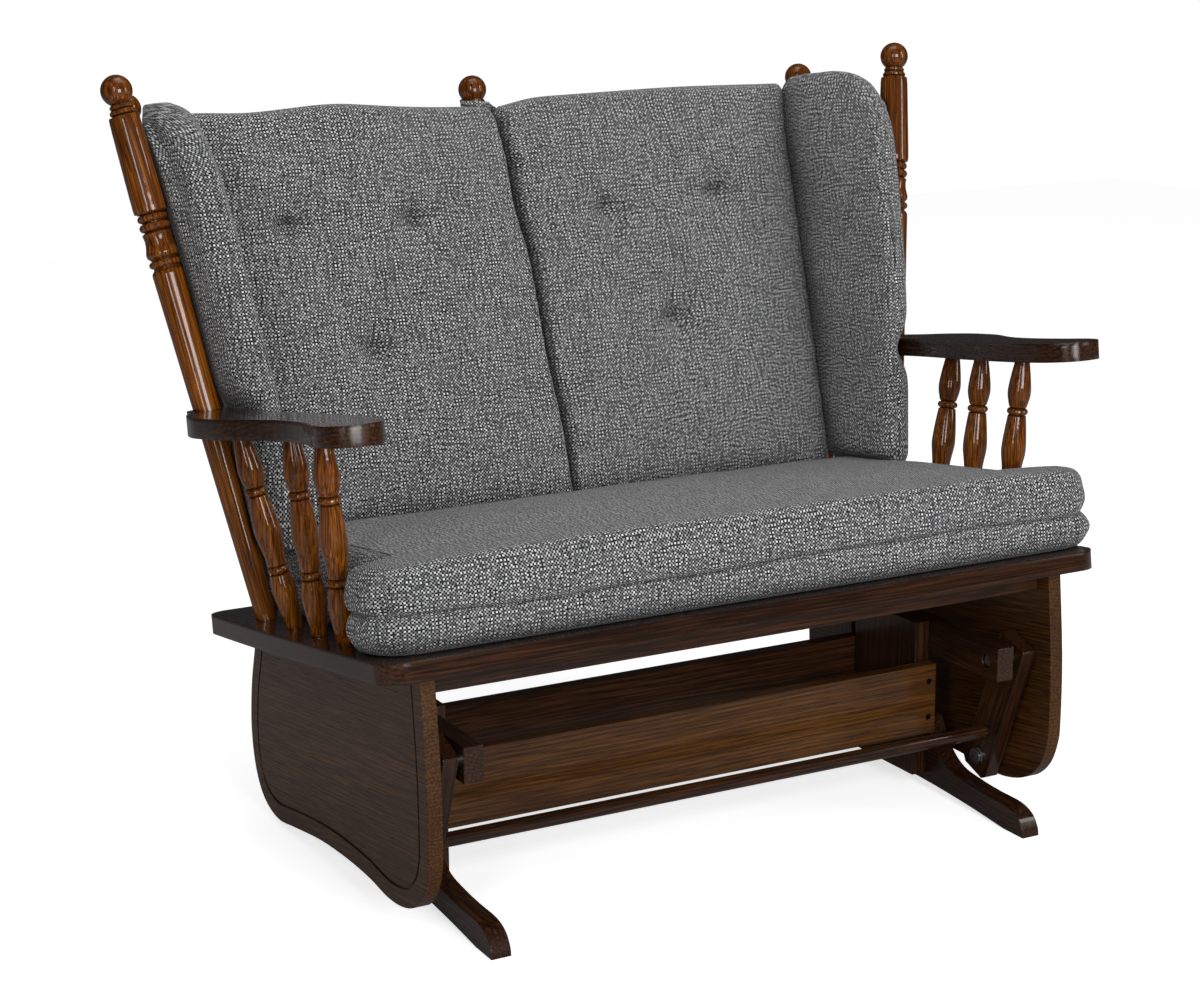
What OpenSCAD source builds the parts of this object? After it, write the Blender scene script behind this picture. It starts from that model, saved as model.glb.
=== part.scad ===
// Loveseat glider: a trestle base, four swinging links, and a seat with turned
// back posts, bow arms and loose cushions. Millimetres, +Z up, +X to the sitter's left,
// the front of the seat towards -Y, the floor at Z = 0.

/* [Base] */
// Length of each top rail, front to back
rail_length = 488; // [440:1:560]
// Clear width between the two top rails
rail_gap = 812; // [700:1:950]
// Thickness of the rails and feet
base_stock = 28; // [22:1:34]
// Height of a top rail
rail_height = 49; // [44:1:60]
// Height of the rails' top faces above the floor
rail_top = 262; // [250:1:280]
// Length of each foot, tip to tip
foot_length = 629; // [580:1:720]
// Height of the foot at its toes
toe_height = 38; // [30:1:46]
// Height of the foot where it is screwed to the upright
foot_hump = 112; // [90:1:130]
// Rise of the arch under the foot
foot_arch = 14; // [6:1:20]
// Length of the flat pad under each toe
toe_pad = 46; // [30:1:70]
// Thickness of the uprights
upright_thick = 24; // [18:1:30]
// Height of the upright's lower end above the floor
upright_bottom = 25; // [20:1:40]
// Distance between the outer faces of the two stretcher boards
board_span = 196; // [170:1:230]
// Thickness of the stretcher boards
board_thick = 20; // [16:1:24]
// Height of the stretcher boards
board_height = 106; // [90:1:115]
// Height of the boards' lower edges above the floor
board_bottom = 95; // [85:1:105]

/* [Links] */
// Distance between a link's two pivots
link_reach = 181.5; // [165:0.5:188]
// Width of a link
link_width = 56; // [46:1:60]
// Thickness of a link
link_thick = 22; // [18:1:26]
// Wood beyond a link's pivots
link_end = 26.5; // [22:0.5:28]
// Distance of the upper pivots from the rails' ends
pivot_inset = 26.5; // [20:0.5:40]
// Distance of the upper pivots below the rails' tops
pivot_drop = 24; // [20:0.5:27]
// Lean of the front links at rest, lower end rearward, in degrees
front_lean = 20.6; // [16:0.1:24]
// Lean of the rear links at rest, lower end forward, in degrees
rear_lean = 9.0; // [6:0.1:12]
// Clear space between a rail and its link
rail_to_link = 10.5; // [10:0.5:14]
// Clear space between a link and the seat's side panel
link_to_panel = 12; // [11:0.5:16]
// Diameter of the two cross rods
rod_d = 20; // [14:1:26]
// Distance of the cross rods from the upper pivots
rod_drop = 135.5; // [120:0.5:145]

/* [Seat board] */
// Width of the seat board at its front corners
seat_width = 1112; // [1090:1:1140]
// How much further each side of the seat board reaches out at the back
seat_flare = 17; // [0:1:24]
// Depth of the seat board
seat_depth = 610; // [600:1:650]
// Thickness of the seat board
seat_thick = 27; // [22:1:32]
// Backward slope of the seat board, in degrees
seat_slope = 7.9; // [7:0.1:8.5]
// Height of the seat board's top front edge above the floor
seat_height = 399; // [394:1:420]
// How far the seat board's front edge stands ahead of the rails' ends
seat_lead = 37; // [20:1:50]
// Corner radius at the front of the seat board
front_radius = 38; // [20:1:60]
// Corner radius at the back of the seat board
rear_radius = 32; // [20:1:50]

/* [Side panels] */
// Thickness of the side panels
panel_thick = 21; // [18:1:26]
// Set-back of the panels from the seat board's front edge
panel_lead = 25; // [20:1:40]
// Length of the panels at their top edge
panel_length = 581; // [560:1:584]
// Depth of the panels below the seat board's top, at the front lobe
panel_drop = 344; // [338:1:350]
// How much shallower the panels are at the back
panel_step = 33; // [28:1:60]
// Distance of the routed line from the panel's edge
line_inset = 27; // [18:1:34]
// Width of the routed line
line_width = 4; // [2:0.5:6]
// Depth of the routed line
line_depth = 2; // [1:0.5:4]
// Thickness of the apron and of the cleats under the seat board
cleat_thick = 22; // [16:1:24]
// Depth of the apron and cleats below the seat board
cleat_drop = 26; // [16:1:30]
// Set-back of the apron from the seat board's front edge
apron_lead = 50; // [44:1:80]

/* [Back posts] */
// Distance of the feet of the wing posts and spindles from the middle of the seat board
foot_line = 528; // [520:1:536]
// Length of a wing post from the seat board to the centre of its ball
wing_post_length = 753; // [730:1:780]
// Length of an inner post, measured alike
inner_post_length = 747; // [730:1:765]
// Length of the centre post, measured alike
centre_post_length = 760; // [740:1:780]
// Radius of the ball finials
ball_r = 22; // [20:0.1:24]
// Radius of a post's upper barrel at its lower end
barrel_r = 23.5; // [21:0.1:25]
// Radius of a post where it enters the seat board
post_foot_r = 14; // [12:0.5:16]
// Depth of the post holes in the seat board
post_sink = 19; // [12:1:20]
// Distance of the wing posts from the seat board's rear edge
wing_post_back = 130; // [122:1:140]
// Outward lean of a wing post over its length
wing_post_splay = 116; // [105:1:125]
// Backward lean of a wing post over its length
wing_post_rake = 85; // [75:1:95]
// How much nearer to the middle the inner posts stand than the wing posts
inner_post_inset = 42; // [38:1:46]
// Distance of the inner and centre posts from the seat board's rear edge
back_post_back = 25; // [23:1:30]
// Outward lean of an inner post over its length
inner_post_splay = 90; // [84:1:95]
// Backward lean of an inner post over its length
inner_post_rake = 161; // [150:1:170]
// Backward lean of the centre post over its length
centre_post_rake = 208; // [195:1:215]
// Radius of the rungs between the posts
rung_r = 10; // [8:0.5:11]
// Radius of the rungs' ends where they enter the posts
rung_tenon_r = 7; // [5:0.5:7.5]

/* [Arms] */
// Height of an arm's underside above the seat board
arm_height = 269; // [258:1:280]
// Thickness of an arm
arm_thick = 27; // [22:1:32]
// Radius of an arm's round rear end
arm_end_r = 31; // [28:1:36]
// Width of an arm at its widest, near the back
arm_width = 100; // [90:1:106]
// Width of an arm's paddle at the front
paddle_width = 92; // [80:1:98]
// Set-back of the paddle's tip from the seat board's front edge
paddle_lead = 8; // [0:1:20]
// Distance from a wing post's foot to the rear spindle's
first_spindle_gap = 112; // [105:1:118]
// Distance between the spindles' feet
spindle_gap = 89; // [82:1:92]
// Depth of the spindle holes in the seat board and in the arms
spindle_sink = 14; // [8:1:18]
// Largest radius of a spindle
spindle_r = 18; // [15:0.5:19]

/* [Cushions] */
// Thickness of the seat cushion at its edges
seat_cushion_thick = 112; // [90:1:116]
// Extra height of the seat cushion at its middle
seat_cushion_crown = 14; // [6:1:18]
// Set-back of the seat cushion from the seat board's front edge
seat_cushion_lead = 20; // [10:1:30]
// Distance from the rear edges of the ears to the front spindles' feet behind them
ear_gap = 42; // [40:1:60]
// How far the ears reach beyond the seat board's front corners
ear_overhang = 12; // [0:1:20]
// Thickness of the back cushions at the split, at their lower edge
back_cushion_low = 29; // [24:1:34]
// Thickness of the back cushions at the split, at their top
back_cushion_high = 49; // [40:1:56]
// Extra thickness of the back cushions at their middle
back_cushion_crown = 22; // [10:1:28]
// Height of the back cushions' tops above the seat board
back_cushion_top = 712; // [680:1:720]
// Depth of the sewn tufts in the back cushions
tuft_depth = 20; // [8:1:24]
// Height of the wing cushions' tops above the seat board
wing_cushion_top = 724; // [690:1:728]
// Height of the wing cushions' lower edges above the seat board
wing_cushion_bottom = 118; // [117:1:150]

/* [Hardware] */
// Diameter of the pivot bolts
bolt_d = 10; // [8:0.5:12]
// Outer diameter of the bushings in the links
bushing_d = 24; // [22:0.5:28]
// Radial play of the rear lower pivots
rear_play = 4; // [3.6:0.1:4.5]
// Diameter of the screw heads on the stretcher boards
screw_head_d = 9; // [7:0.5:11]

/* [Hidden] */
SIDES = ["right", "left"];

$fn = 48;
glue_gap = 0.1;      // around a tenon in its hole
run_gap = 0.05;      // around a bolt in its bushing
side_gap = 0.3;      // between a link and the spacers beside it
soft_gap = 0.4;      // between a cushion and what it lies against
eps = 0.01;

dark_oak = [0.17, 0.08, 0.05];
warm_oak = [0.42, 0.22, 0.09];
tweed = [0.38, 0.38, 0.39];
steel = [0.62, 0.63, 0.65];
nylon = [0.86, 0.85, 0.80];

// Places across the width, from the middle outwards
rail_in = rail_gap / 2;
rail_out = rail_in + base_stock;
link_in = rail_out + rail_to_link;
link_out = link_in + link_thick;
panel_in = link_out + link_to_panel;
panel_out = panel_in + panel_thick;
seat_half = seat_width / 2;

// Places of the pivots, as [y, z] from the middle of the base
pivot_y = rail_length / 2 - pivot_inset;
pivot_z = rail_top - pivot_drop;
front_top = [-pivot_y, pivot_z];
rear_top = [pivot_y, pivot_z];
front_low = front_top + link_reach * [sin(front_lean), -cos(front_lean)];
rear_low = rear_top + link_reach * [-sin(rear_lean), -cos(rear_lean)];

// The seat's own frame: its origin is the middle of the board's top front edge,
// Y runs back along the board and Z stands square to it
seat_y = -rail_length / 2 - seat_lead;
function from_seat(p) = [p[0],
    seat_y + p[1] * cos(seat_slope) + p[2] * sin(seat_slope),
    seat_height - p[1] * sin(seat_slope) + p[2] * cos(seat_slope)];
function to_seat(y, z) = let (dy = y - seat_y, dz = z - seat_height)
    [dy * cos(seat_slope) - dz * sin(seat_slope), dy * sin(seat_slope) + dz * cos(seat_slope)];

// Feet and heads of the posts in the seat's frame
function post_head(foot, splay, rake, length) =
    foot + [splay, rake, sqrt(length * length - splay * splay - rake * rake)];
wing_foot = [foot_line, seat_depth - wing_post_back, 0];
wing_head = post_head(wing_foot, wing_post_splay, wing_post_rake, wing_post_length);
inner_foot = [foot_line - inner_post_inset, seat_depth - back_post_back, 0];
inner_head = post_head(inner_foot, inner_post_splay, inner_post_rake, inner_post_length);
centre_foot = [0, seat_depth - back_post_back, 0];
centre_head = post_head(centre_foot, 0, centre_post_rake, centre_post_length);
function at_height(foot, head, h) = foot + (head - foot) * h / head[2];

// The part's origin is on the floor, under the middle of its outline
outline_front = -foot_length / 2;
outline_back = max(from_seat(centre_head)[1], from_seat(inner_head)[1]) + ball_r;
origin_y = (outline_front + outline_back) / 2;

// Points on curves and turned outlines
function catmull(a, b, c, d, t) =
    0.5 * (2 * b + (c - a) * t + (2 * a - 5 * b + 4 * c - d) * t * t + (3 * b - a - 3 * c + d) * t * t * t);
function open_curve(p, n) = let (e = len(p) - 1) concat(
    [for (i = [0 : e - 1], j = [0 : n - 1])
        catmull(p[max(i - 1, 0)], p[i], p[i + 1], p[min(i + 2, e)], j / n)], [p[e]]);
function closed_curve(p, n) = let (m = len(p))
    [for (i = [0 : m - 1], j = [0 : n - 1])
        catmull(p[(i + m - 1) % m], p[i], p[(i + 1) % m], p[(i + 2) % m], j / n)];
function arc(c, r, from, to, n = 12) =
    [for (i = [0 : n]) let (a = from + (to - from) * i / n) c + r * [cos(a), sin(a)]];
function inset(p, d) = let (m = len(p)) [for (i = [0 : m - 1])
    let (t = p[(i + 1) % m] - p[(i + m - 1) % m]) p[i] + d * [-t[1], t[0]] / norm(t)];
// A bead's outline: a half round of width w that stands out to radius r at height z
function bead(z, r, w, n = 6) =
    [for (i = [0 : n]) [r - w / 2 * (1 - sin(180 * i / n)), z - w / 2 * cos(180 * i / n)]];
function spread(t) = 1 - pow(abs(t), 4);
function blend(a, b, t) = a + (b - a) * t;
function ease(t) = let (u = min(max(t, 0), 1)) u * u * (3 - 2 * u);

module placed() translate([0, -origin_y, 0]) children();
module seat_space() placed() translate([0, seat_y, seat_height]) rotate([-seat_slope, 0, 0]) children();
module on_side(side) mirror([side == "left" ? 0 : 1, 0, 0]) children();
module both_sides() { children(); mirror([1, 0, 0]) children(); }
// Stands what is drawn along Z on the line from p to q, turned about that line
module along(p, q, turn = 0) {
    d = q - p;
    translate(p) rotate([0, acos(d[2] / norm(d)), atan2(d[1], d[0])]) rotate(turn) children();
}
// Draws an outline given as [y, z] as a plate from x = a to x = b
module plate(a, b) translate([a, 0, 0]) rotate([90, 0, 90]) linear_extrude(b - a) children();
module peg(x, at, r, length) translate([x, at[0], at[1]]) rotate([0, 90, 0]) cylinder(h = length, r = r);

// Base

function foot_side() = let (tip = foot_length / 2, half_upright = board_span / 2 - board_thick)
    open_curve([[-tip, 0], [-tip + 3, 13], [-tip + 16, toe_height * 0.75], [-tip + 42, toe_height * 0.97],
        [-tip + 90, toe_height], [-tip + 135, toe_height + 3], [-tip + 178, toe_height + 10],
        [-tip + 208, toe_height + 30], [-half_upright - 7, foot_hump - 12], [-half_upright, foot_hump]], 4);
function foot_outline() = let (a = foot_side(), pad = foot_length / 2 - toe_pad) concat(
    a, [for (i = [len(a) - 1 : -1 : 0]) [-a[i][0], a[i][1]]],
    [for (i = [0 : 16]) let (t = 1 - i / 8) [pad * t, foot_arch * (1 - t * t)]]);

module foot(side) color(dark_oak) placed() on_side(side)
    plate(rail_in, rail_out) polygon(foot_outline());

screw_heights = [0.24, 0.76];
module at_screws() for (sx = [-1, 1], sy = [-1, 1], h = screw_heights)
    translate([sx * (rail_in - upright_thick / 2), sy * board_span / 2, board_bottom + h * board_height])
        rotate([-sy * 90, 0, 0]) rotate([180, 0, 0]) children();
screw_head = 3;
screw_length = 45;
screw_r = 2.2;

module upright(side) color(dark_oak) placed() difference() {
    on_side(side) translate([rail_in - upright_thick, -board_span / 2 + board_thick, upright_bottom])
        cube([upright_thick, board_span - 2 * board_thick, rail_top - upright_bottom]);
    at_screws() cylinder(h = screw_length + 1, r = screw_r + glue_gap);
}

module rail(side) color(dark_oak) placed() on_side(side) difference() {
    plate(rail_in, rail_out) translate([-rail_length / 2, rail_top - rail_height])
        square([rail_length, rail_height]);
    for (at = [front_top, rear_top]) {
        peg(rail_in - 1, at, bolt_d / 2 + glue_gap, base_stock + 2);
        peg(rail_in - 1, at, bolt_d, head_x - rail_in + 1);
    }
}

module board(side) color(dark_oak) placed() difference() {
    translate([-rail_in, (side < 0 ? -1 : 1) * board_span / 2 - (side < 0 ? 0 : board_thick), board_bottom])
        cube([2 * rail_in, board_thick, board_height]);
    at_screws() {
        translate([0, 0, -1]) cylinder(h = 1 + screw_head, r = screw_head_d / 2 + glue_gap);
        cylinder(h = board_thick + 1, r = screw_r + glue_gap);
    }
}

module board_screws() color(steel) placed() at_screws() difference() {
    union() {
        cylinder(h = screw_head, r = screw_head_d / 2);
        cylinder(h = screw_length, r = screw_r);
    }
    for (a = [0, 90]) rotate(a) cube([screw_head_d * 0.6, 1.2, 2.4], center = true);
}

// Pivot hardware

head_thick = 6;
nut_thick = 7;
head_x = rail_in + base_stock / 3;
module upper_bolts() color(steel) placed() both_sides() for (at = [front_top, rear_top]) {
    peg(head_x - head_thick, at, bolt_d * 0.85, head_thick);
    peg(head_x - eps, at, bolt_d / 2, link_out + nut_thick + 1 - head_x);
    translate([link_out + side_gap, at[0], at[1]]) rotate([0, 90, 0])
        cylinder(h = nut_thick, r = bolt_d * 0.85, $fn = 6);
}

module spacer(x, at, length, bore) difference() {
    peg(x, at, bolt_d, length);
    peg(x - 1, at, bore, length + 2);
}
module upper_spacers() color(steel) placed() both_sides() for (at = [front_top, rear_top])
    spacer(rail_out, at, rail_to_link - side_gap, bolt_d / 2 + glue_gap);

insert_depth = 15;
module lower_bolts() color(steel) placed() both_sides() for (at = [front_low, rear_low]) {
    peg(link_in - side_gap - head_thick, at, bushing_d / 2, head_thick);
    peg(link_in - side_gap - eps, at, bolt_d / 2, panel_in + insert_depth - link_in + side_gap);
}
module lower_spacers() color(steel) placed() both_sides() for (at = [front_low, rear_low])
    spacer(link_out + side_gap, at, link_to_panel - side_gap, bolt_d / 2 + glue_gap);

module bushing(at, bore) difference() {
    peg(link_in, at, bushing_d / 2 - glue_gap, link_thick);
    peg(link_in - 1, at, bore, link_thick + 2);
}

// Links: a straight bar with clipped corners, drawn from its upper pivot down its lean
link_clip = 7;
link_length = link_reach + 2 * link_end;
module link_bar(lean) rotate(lean) difference() {
    translate([-link_width / 2, -link_reach - link_end]) polygon([[link_clip, 0],
        [link_width - link_clip, 0], [link_width, link_clip], [link_width, link_length - 2],
        [link_width - 2, link_length], [2, link_length], [0, link_length - 2], [0, link_clip]]);
    circle(d = bushing_d);
    translate([0, -link_reach]) circle(d = bushing_d);
}
rod_tenon = 15;
module link(side, top, lean) color(dark_oak) placed() on_side(side) difference() {
    plate(link_in, link_out) translate(top) link_bar(lean);
    peg(link_in - 1, rod_place(top, lean), rod_d / 2 - 3 + glue_gap, rod_tenon + 1 + glue_gap);
}
function rod_place(top, lean) = top + rod_drop * [sin(lean), -cos(lean)];
module rod(top, lean) color(dark_oak) placed() both_sides() {
    peg(-eps, rod_place(top, lean), rod_d / 2, link_in + eps);
    peg(link_in - eps, rod_place(top, lean), rod_d / 2 - 3, rod_tenon);
}
module bushings(top, low, low_bore) color(nylon) placed() both_sides() {
    bushing(top, bolt_d / 2 + run_gap);
    bushing(low, low_bore);
}

// Seat board, panels and cleats

function board_side() = [for (i = [0 : 12]) let (t = i / 12)
    [seat_half + seat_flare * sin(90 * t), front_radius + t * (seat_depth - front_radius - rear_radius)]];
function board_outline() = let (right = concat(
    arc([seat_half - front_radius, front_radius], front_radius, -90, 0), board_side(),
    arc([seat_half + seat_flare - rear_radius, seat_depth - rear_radius], rear_radius, 0, 90)))
    concat(right, [for (i = [len(right) - 1 : -1 : 0]) [-right[i][0], right[i][1]]]);

module seat_board() color(dark_oak) seat_space() difference() {
    translate([0, 0, -seat_thick]) linear_extrude(seat_thick) polygon(board_outline());
    both_sides() {
        post_hole(wing_foot, wing_head);
        post_hole(inner_foot, inner_head);
        for (i = [0 : 2]) spindle_hole(i);
    }
    post_hole(centre_foot, centre_head);
}
module post_hole(foot, head) along(foot, head, 50) translate([0, 0, -post_sink - glue_gap])
    cylinder(h = post_sink + 20, r = post_foot_r + glue_gap);

// The panel's edge below the seat board, as [y, z] in the seat's frame
function panel_edge() = let (top = -seat_thick, a = panel_lead, b = panel_lead + panel_length,
    low = -panel_drop, back = -panel_drop + panel_step)
    concat([[b, top]], open_curve([[b + 5, top - 15], [b + 15, top - 36], [b + 43, top - 94],
        [b + 61, top - 162], [b + 57, top - 222], [b + 31, back + 21], [b - 20, back], [b - 87, back],
        [b - 187, back + 1], [b - 282, back - 6], [a + 223, back - 17], [a + 167, low + 3], [a + 120, low],
        [a + 77, low + 8], [a + 45, low + 30], [a + 26, low + 61], [a + 17, low + 95], [a + 5, low + 193],
        [a, top]], 4));
module panel(side) color(dark_oak) seat_space() on_side(side) difference() {
    plate(panel_in, panel_out) polygon(panel_edge());
    plate(panel_out - line_depth, panel_out + 1) difference() {
        polygon(inset(long_edge(), -line_inset + line_width / 2));
        polygon(inset(long_edge(), -line_inset - line_width / 2));
    }
    for (at = [front_low, rear_low]) let (p = to_seat(at[0], at[1]))
        peg(panel_in - 1, p, bolt_d / 2 + glue_gap, insert_depth + 1 + glue_gap);
}
// The same edge drawn on above the panel, so that the routed line runs out under the seat board
function long_edge() = concat(panel_edge(), [[panel_lead - 4, 60], [panel_lead + panel_length, 60]]);

module front_apron() color(dark_oak) seat_space()
    translate([-panel_in, apron_lead, -seat_thick - cleat_drop])
        cube([2 * panel_in, cleat_thick, cleat_drop]);
cleat_end = 430;
module cleat(side) color(dark_oak) seat_space() on_side(side)
    translate([panel_in - cleat_thick, apron_lead + cleat_thick, -seat_thick - cleat_drop])
        cube([cleat_thick, cleat_end - apron_lead - cleat_thick, cleat_drop]);

// Turned posts: from the foot a long taper, a bead, a vase, two beads, a barrel, two rings and a ball.
// Heights are measured down from the ball's centre at length L.
function post_outline(L) = concat(
    [[0, -post_sink], [post_foot_r, -post_sink], [post_foot_r, 2]],
    [[shaft_r, L - shaft_top], [barrel_r - 2.5, L - shaft_top + 4], [barrel_r - 5.5, L - shaft_top + 7]],
    bead(L - 242, barrel_r - 1, 10),
    [[barrel_r - 5, L - 235]],
    open_curve([[barrel_r - 2, L - 232], [barrel_r - 1, L - 227], [barrel_r - 3.4, L - 217],
        [barrel_r - 4.2, L - 207], [barrel_r - 3, L - 199.5]], 4),
    bead(L - 190.5, barrel_r - 1.8, 12),
    bead(L - 178, barrel_r - 2.3, 11),
    [[barrel_r - 4, L - 171.5]],
    open_curve([[barrel_r - 2, L - 169], [barrel_r, L - 163], [barrel_r - 1, L - 98],
        [barrel_r - 2.2, L - 41], [barrel_r - 4, L - 36.5]], 3),
    [[barrel_r - 8, L - 35.5]],
    bead(L - 30, barrel_r - 5.5, 8),
    bead(L - 22.2, barrel_r - 7.5, 7),
    [for (i = [0 : 12]) let (a = -50 + 140 * i / 12) [ball_r * cos(a), L + ball_r * sin(a)]]);
shaft_top = 257;              // from the ball's centre down to the top of the tapered shaft
shaft_r = barrel_r - 1.5;     // the shaft's radius there

// Sockets of the rungs that end on this post, given as pairs of points in the seat's frame
module post(foot, head, sockets) color(warm_oak) seat_space() difference() {
    along(foot, head) rotate_extrude() polygon(post_outline(norm(head - foot)));
    for (s = sockets) along(s[0], s[1]) translate([0, 0, rung_end - glue_gap])
        cylinder(h = norm(s[1] - s[0]) - 2 * (rung_end - glue_gap), r = rung_tenon_r + glue_gap);
}
rung_end = 8;                 // from a post's axis to the end of a rung's tenon
back_rung_heights = [150, 340, 530];
wing_rung_heights = [200, 440, 600];
function back_rung(h) = [at_height(centre_foot, centre_head, h), at_height(inner_foot, inner_head, h)];
function wing_rung(h) = [at_height(inner_foot, inner_head, h), at_height(wing_foot, wing_head, h)];
function flip(rungs) = [for (r = rungs) [[-r[0][0], r[0][1], r[0][2]], [-r[1][0], r[1][1], r[1][2]]]];
back_rungs = [for (h = back_rung_heights) back_rung(h)];
wing_rungs = [for (h = wing_rung_heights) wing_rung(h)];

module wing_post() post(wing_foot, wing_head, wing_rungs);
module inner_post() post(inner_foot, inner_head, concat(back_rungs, wing_rungs));
module centre_post() post(centre_foot, centre_head, concat(back_rungs, flip(back_rungs)));

// A rung tapers from its middle to a shoulder clear of each post, and ends in a tenon
rung_shoulder = 24;
module rung(p, q) along(p, q) let (n = norm(q - p)) rotate_extrude() polygon([
    [0, rung_end], [rung_tenon_r, rung_end], [rung_tenon_r, rung_shoulder],
    [rung_r - 1, rung_shoulder + 3], [rung_r, n / 2], [rung_r - 1, n - rung_shoulder - 3],
    [rung_tenon_r, n - rung_shoulder], [rung_tenon_r, n - rung_end], [0, n - rung_end]]);
module rungs(side, list) color(warm_oak) seat_space() on_side(side) for (r = list) rung(r[0], r[1]);

// Arms: a serpentine bow with a round rear end about the wing post and a paddle in front

arm_post = at_height(wing_foot, wing_head, arm_height + arm_thick / 2);
function arm_outline() = let (x = arm_post[0], y = arm_post[1], r = arm_end_r, tip = paddle_lead,
    out = x - 35 + arm_width, c = x - 23, w = paddle_width / 2) closed_curve(concat(
    [for (a = [0 : 36 : 180]) [x + r * cos(a), y + r * sin(a)]],
    [[x - r - 1, y - 50], [x - 35, y - 110], [x - 42, y - 170], [x - 56, y - 255], [x - 66, y - 340],
        [c - w - 1, tip + 105], [c - w, tip + 66], [c - w + 7, tip + 32], [c - w + 24, tip + 8],
        [c - 3, tip], [c + w - 18, tip + 6], [c + w - 3, tip + 26], [c + w, tip + 55],
        [c + w - 8, tip + 95], [x + 12, y - 350], [x + 18, y - 295], [x + 35, y - 248],
        [x + 55, y - 200], [out - 2, y - 150], [out, y - 112], [out - 10, y - 65],
        [x + r + 8, y - 30]]), 3);
module arm(side) color(dark_oak) seat_space() on_side(side) difference() {
    translate([0, 0, arm_height]) linear_extrude(arm_thick) polygon(arm_outline());
    along(wing_foot, wing_head, 50) cylinder(h = wing_post_length * 0.55, r = arm_bore);
    for (i = [0 : 2]) spindle_hole(i);
}
// The hole is as wide as the tapered post is at arm_slack above the arm's top face
arm_slack = 32;
arm_bore = blend(post_foot_r, shaft_r,
    (arm_height + arm_thick + arm_slack) / (wing_post_length - shaft_top)) + glue_gap;

// Spindles: feet in a row ahead of the wing post, heads under the middle of the arm
spindle_feet = [for (i = [2, 1, 0]) wing_foot - [0, first_spindle_gap + i * spindle_gap, 0]];
spindle_leans = [[22, -39], [25, -25], [54, -3]];
spindle_heads = [for (i = [0 : 2]) spindle_feet[i] + concat(spindle_leans[i], arm_height)];
neck = 4;
function spindle_outline(n) = let (r = spindle_r, s = spindle_sink) concat(
    [[0, -s], [r * 0.6, -s]],
    open_curve([[r * 0.6, neck], [r * 0.78, n * 0.10], [r * 0.92, n * 0.20], [r * 0.74, n * 0.285]], 4),
    bead(n * 0.31, r * 0.84, n * 0.036),
    open_curve([[r * 0.68, n * 0.335], [r * 0.84, n * 0.42], [r, n * 0.50], [r * 0.9, n * 0.60],
        [r * 0.74, n * 0.69]], 4),
    bead(n * 0.714, r * 0.86, n * 0.036),
    open_curve([[r * 0.72, n * 0.74], [r * 0.94, n * 0.81], [r * 0.84, n * 0.89], [r * 0.6, n - neck]], 4),
    [[r * 0.6, n + s], [0, n + s]]);
module spindle(side, i) color(warm_oak) seat_space() on_side(side)
    let (p = spindle_feet[i], q = spindle_heads[i])
        along(p, q) rotate_extrude() polygon(spindle_outline(norm(q - p)));
module spindle_hole(i) let (p = spindle_feet[i], q = spindle_heads[i], h = spindle_sink + 12)
    along(p, q, 50) for (z = [-spindle_sink - glue_gap, norm(q - p) - 12 + glue_gap])
        translate([0, 0, z]) cylinder(h = h, r = spindle_r * 0.6 + glue_gap);

// Cushions: each is a stack of closed loops with as many points, joined by triangles and capped

module loft(loops) {
    n = len(loops[0]);
    m = len(loops);
    middle = function (loop) [for (c = [0 : 2]) sum_of([for (p = loop) p[c]]) / n];
    sides = [for (i = [0 : m - 2], j = [0 : n - 1]) let (a = i * n + j, b = i * n + (j + 1) % n)
        each [[a, b, b + n], [a, b + n, a + n]]];
    caps = [for (j = [0 : n - 1]) let (k = (j + 1) % n)
        each [[m * n, k, j], [m * n + 1, (m - 1) * n + j, (m - 1) * n + k]]];
    polyhedron(concat([for (l = loops) each l], [middle(loops[0]), middle(loops[m - 1])]),
        concat(sides, caps));
}
// A box with soft corners, as a unit loop: x and z run from -1 to 1
function soft_box(n, x_power, z_power) = [for (i = [0 : n - 1])
    let (a = 360 * i / n, c = cos(a), s = sin(a))
        [sign(c) * pow(abs(c), x_power), sign(s) * pow(abs(s), z_power)]];

// The seat cushion's half width, with ears in front of the spindles and round front corners
cushion_half = foot_line - post_foot_r - 8;
ear_half = seat_half + ear_overhang;
ear_length = spindle_feet[0][1] - ear_gap - seat_cushion_lead;
function cushion_width(y) = let (t = y - seat_cushion_lead, r = 70,
    corner = t >= r ? 0 : r - sqrt(r * r - (r - t) * (r - t)))
    blend(ear_half - corner, cushion_half, ease((t - ear_length + 34) / 34));
cushion_back = pad_front(0, 0) - soft_gap;
function cushion_stops() = let (d = cushion_back - seat_cushion_lead) concat(
    [for (s = [0, 0.016, 0.053, 0.117, 0.213, 0.351, 0.532, 0.766]) s * (ear_length - 34)],
    [for (i = [0 : 5]) ear_length - 34 + i * 7],
    [for (i = [1 : 7]) blend(ear_length + 8, d - 40, i / 7)], [d - 22, d - 9, d - 2, d]);
// How far the cushion's top and bottom draw in near its front and back edges
function draw_in(y) = let (t = min(y - seat_cushion_lead, cushion_back - y), r = 30)
    t >= r ? 0 : 1 - sqrt(1 - (r - t) * (r - t) / r / r);
// The rear face leans back with the cushions behind it
function lean_back(y, z) = z * 0.17 * ease((y - cushion_back + 100) / 100);
module seat_cushion() color(tweed) seat_space() loft([for (s = cushion_stops())
    let (y = seat_cushion_lead + s, w = cushion_width(y), half = seat_cushion_thick / 2 - 22 * draw_in(y))
    [for (p = soft_box(40, 0.34, 0.42)) let (z = seat_cushion_thick / 2 + side_gap + half * p[1]
        + (p[1] > 0 ? seat_cushion_crown * spread(p[0]) * (1 - draw_in(y)) : 0))
        [w * p[0], y + lean_back(y, z), z]]]);

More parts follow.
